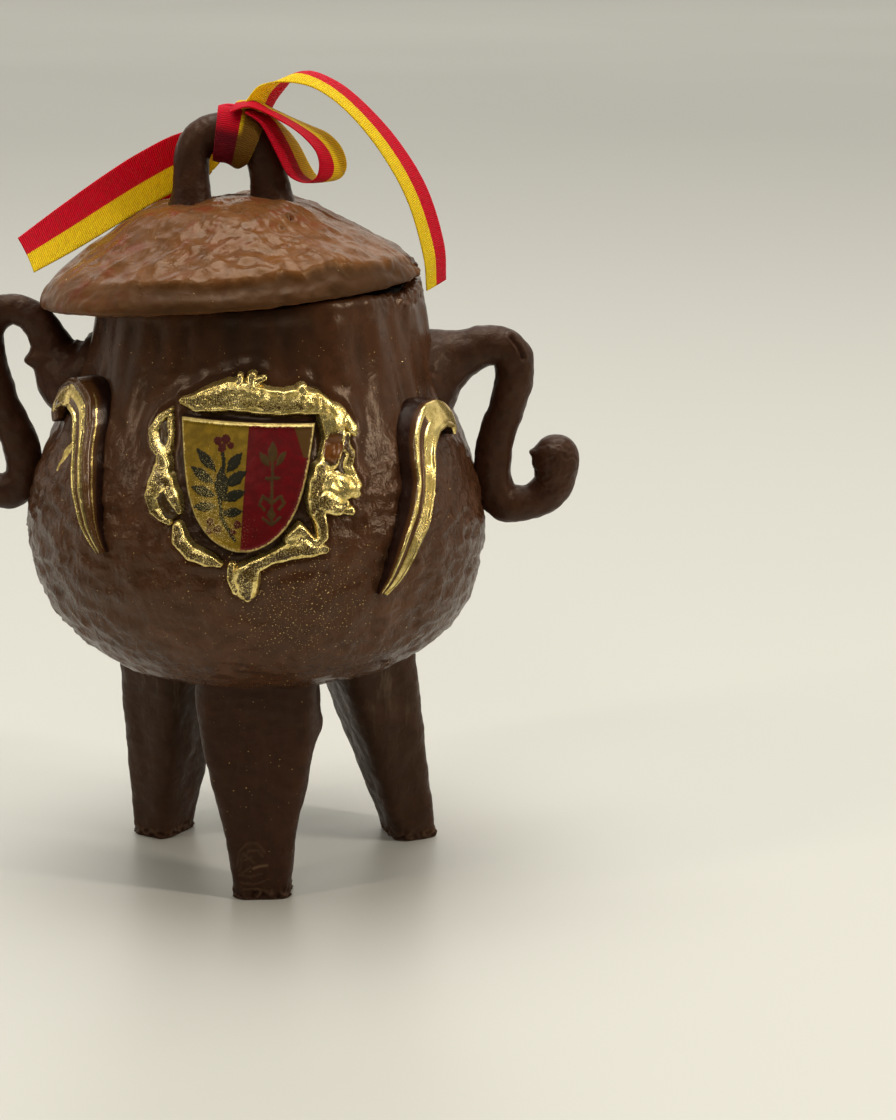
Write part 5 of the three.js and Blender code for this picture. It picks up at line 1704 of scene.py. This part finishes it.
class CAULDRON_OT_stage(Operator):
    """Make the floor, the studio light and the camera"""
    bl_idname = "cauldron.stage"
    bl_label = "Stage"
    bl_options = {"REGISTER", "UNDO"}

    def execute(self, context):
        make_stage(context.scene.cauldron_colours)
        return {"FINISHED"}


class CAULDRON_OT_pot(Operator):
    """Make the pot with its crumpled skin"""
    bl_idname = "cauldron.pot"
    bl_label = "Pot"
    bl_options = {"REGISTER", "UNDO"}

    def execute(self, context):
        make_pot(context.scene.cauldron_sizes, context.scene.cauldron_colours)
        return {"FINISHED"}


class CAULDRON_OT_lid(Operator):
    """Make the lid with its ridge and dents"""
    bl_idname = "cauldron.lid"
    bl_label = "Lid"
    bl_options = {"REGISTER", "UNDO"}

    def execute(self, context):
        make_lid(context.scene.cauldron_sizes, context.scene.cauldron_colours)
        return {"FINISHED"}


class CAULDRON_OT_bars(Operator):
    """Make the lid's grip and the two side handles"""
    bl_idname = "cauldron.bars"
    bl_label = "Grip and handles"
    bl_options = {"REGISTER", "UNDO"}

    def execute(self, context):
        make_bars(context.scene.cauldron_sizes, context.scene.cauldron_colours)
        return {"FINISHED"}


class CAULDRON_OT_legs(Operator):
    """Make the three legs with their chipped feet"""
    bl_idname = "cauldron.legs"
    bl_label = "Legs"
    bl_options = {"REGISTER", "UNDO"}

    def execute(self, context):
        make_legs(context.scene.cauldron_sizes, context.scene.cauldron_colours)
        return {"FINISHED"}


class CAULDRON_OT_scrolls(Operator):
    """Make the two gilt-edged scroll ornaments"""
    bl_idname = "cauldron.scrolls"
    bl_label = "Scrolls"
    bl_options = {"REGISTER", "UNDO"}

    def execute(self, context):
        make_scrolls(context.scene.cauldron_colours)
        return {"FINISHED"}


class CAULDRON_OT_cartouche(Operator):
    """Make the gilt cartouche round the shield"""
    bl_idname = "cauldron.cartouche"
    bl_label = "Cartouche"
    bl_options = {"REGISTER", "UNDO"}

    def execute(self, context):
        make_cartouche(context.scene.cauldron_colours)
        return {"FINISHED"}


class CAULDRON_OT_shield(Operator):
    """Make the icing shield with its sprig and bud"""
    bl_idname = "cauldron.shield"
    bl_label = "Shield"
    bl_options = {"REGISTER", "UNDO"}

    def execute(self, context):
        make_shield(context.scene.cauldron_colours)
        return {"FINISHED"}


class CAULDRON_OT_ribbon(Operator):
    """Make the ribbon bow on the grip"""
    bl_idname = "cauldron.ribbon"
    bl_label = "Ribbon"
    bl_options = {"REGISTER", "UNDO"}

    def execute(self, context):
        make_ribbon(context.scene.cauldron_sizes, context.scene.cauldron_colours)
        return {"FINISHED"}


class CAULDRON_OT_flakes(Operator):
    """Scatter the gold flakes"""
    bl_idname = "cauldron.flakes"
    bl_label = "Gold flakes"
    bl_options = {"REGISTER", "UNDO"}

    def execute(self, context):
        make_flakes(context.scene.cauldron_sizes)
        return {"FINISHED"}


STEPS = ("stage", "pot", "lid", "bars", "legs", "scrolls", "cartouche", "shield", "ribbon", "flakes")


class CAULDRON_PT_panel(Panel):
    """Sizes, colours and the steps that make the cauldron"""
    bl_label = "Chocolate cauldron"
    bl_idname = "CAULDRON_PT_panel"
    bl_space_type = "VIEW_3D"
    bl_region_type = "UI"
    bl_category = "Cauldron"

    def draw(self, context):
        for group in (context.scene.cauldron_sizes, context.scene.cauldron_colours):
            for name in group.bl_rna.properties.keys():
                if name not in ("rna_type", "name"):
                    self.layout.prop(group, name)
        for step in STEPS:
            self.layout.operator("cauldron." + step)


CLASSES = (
    CauldronSizes, CauldronColours, CAULDRON_OT_stage, CAULDRON_OT_pot, CAULDRON_OT_lid,
    CAULDRON_OT_bars, CAULDRON_OT_legs, CAULDRON_OT_scrolls, CAULDRON_OT_cartouche,
    CAULDRON_OT_shield, CAULDRON_OT_ribbon, CAULDRON_OT_flakes, CAULDRON_PT_panel,
)


def register():
    for each in CLASSES:
        bpy.utils.register_class(each)
    bpy.types.Scene.cauldron_sizes = PointerProperty(type=CauldronSizes)
    bpy.types.Scene.cauldron_colours = PointerProperty(type=CauldronColours)


def unregister():
    del bpy.types.Scene.cauldron_colours
    del bpy.types.Scene.cauldron_sizes
    for each in reversed(CLASSES):
        bpy.utils.unregister_class(each)


def main():
    register()
    for step in STEPS:
        getattr(bpy.ops.cauldron, step)()


if __name__ == "__main__":
    main()
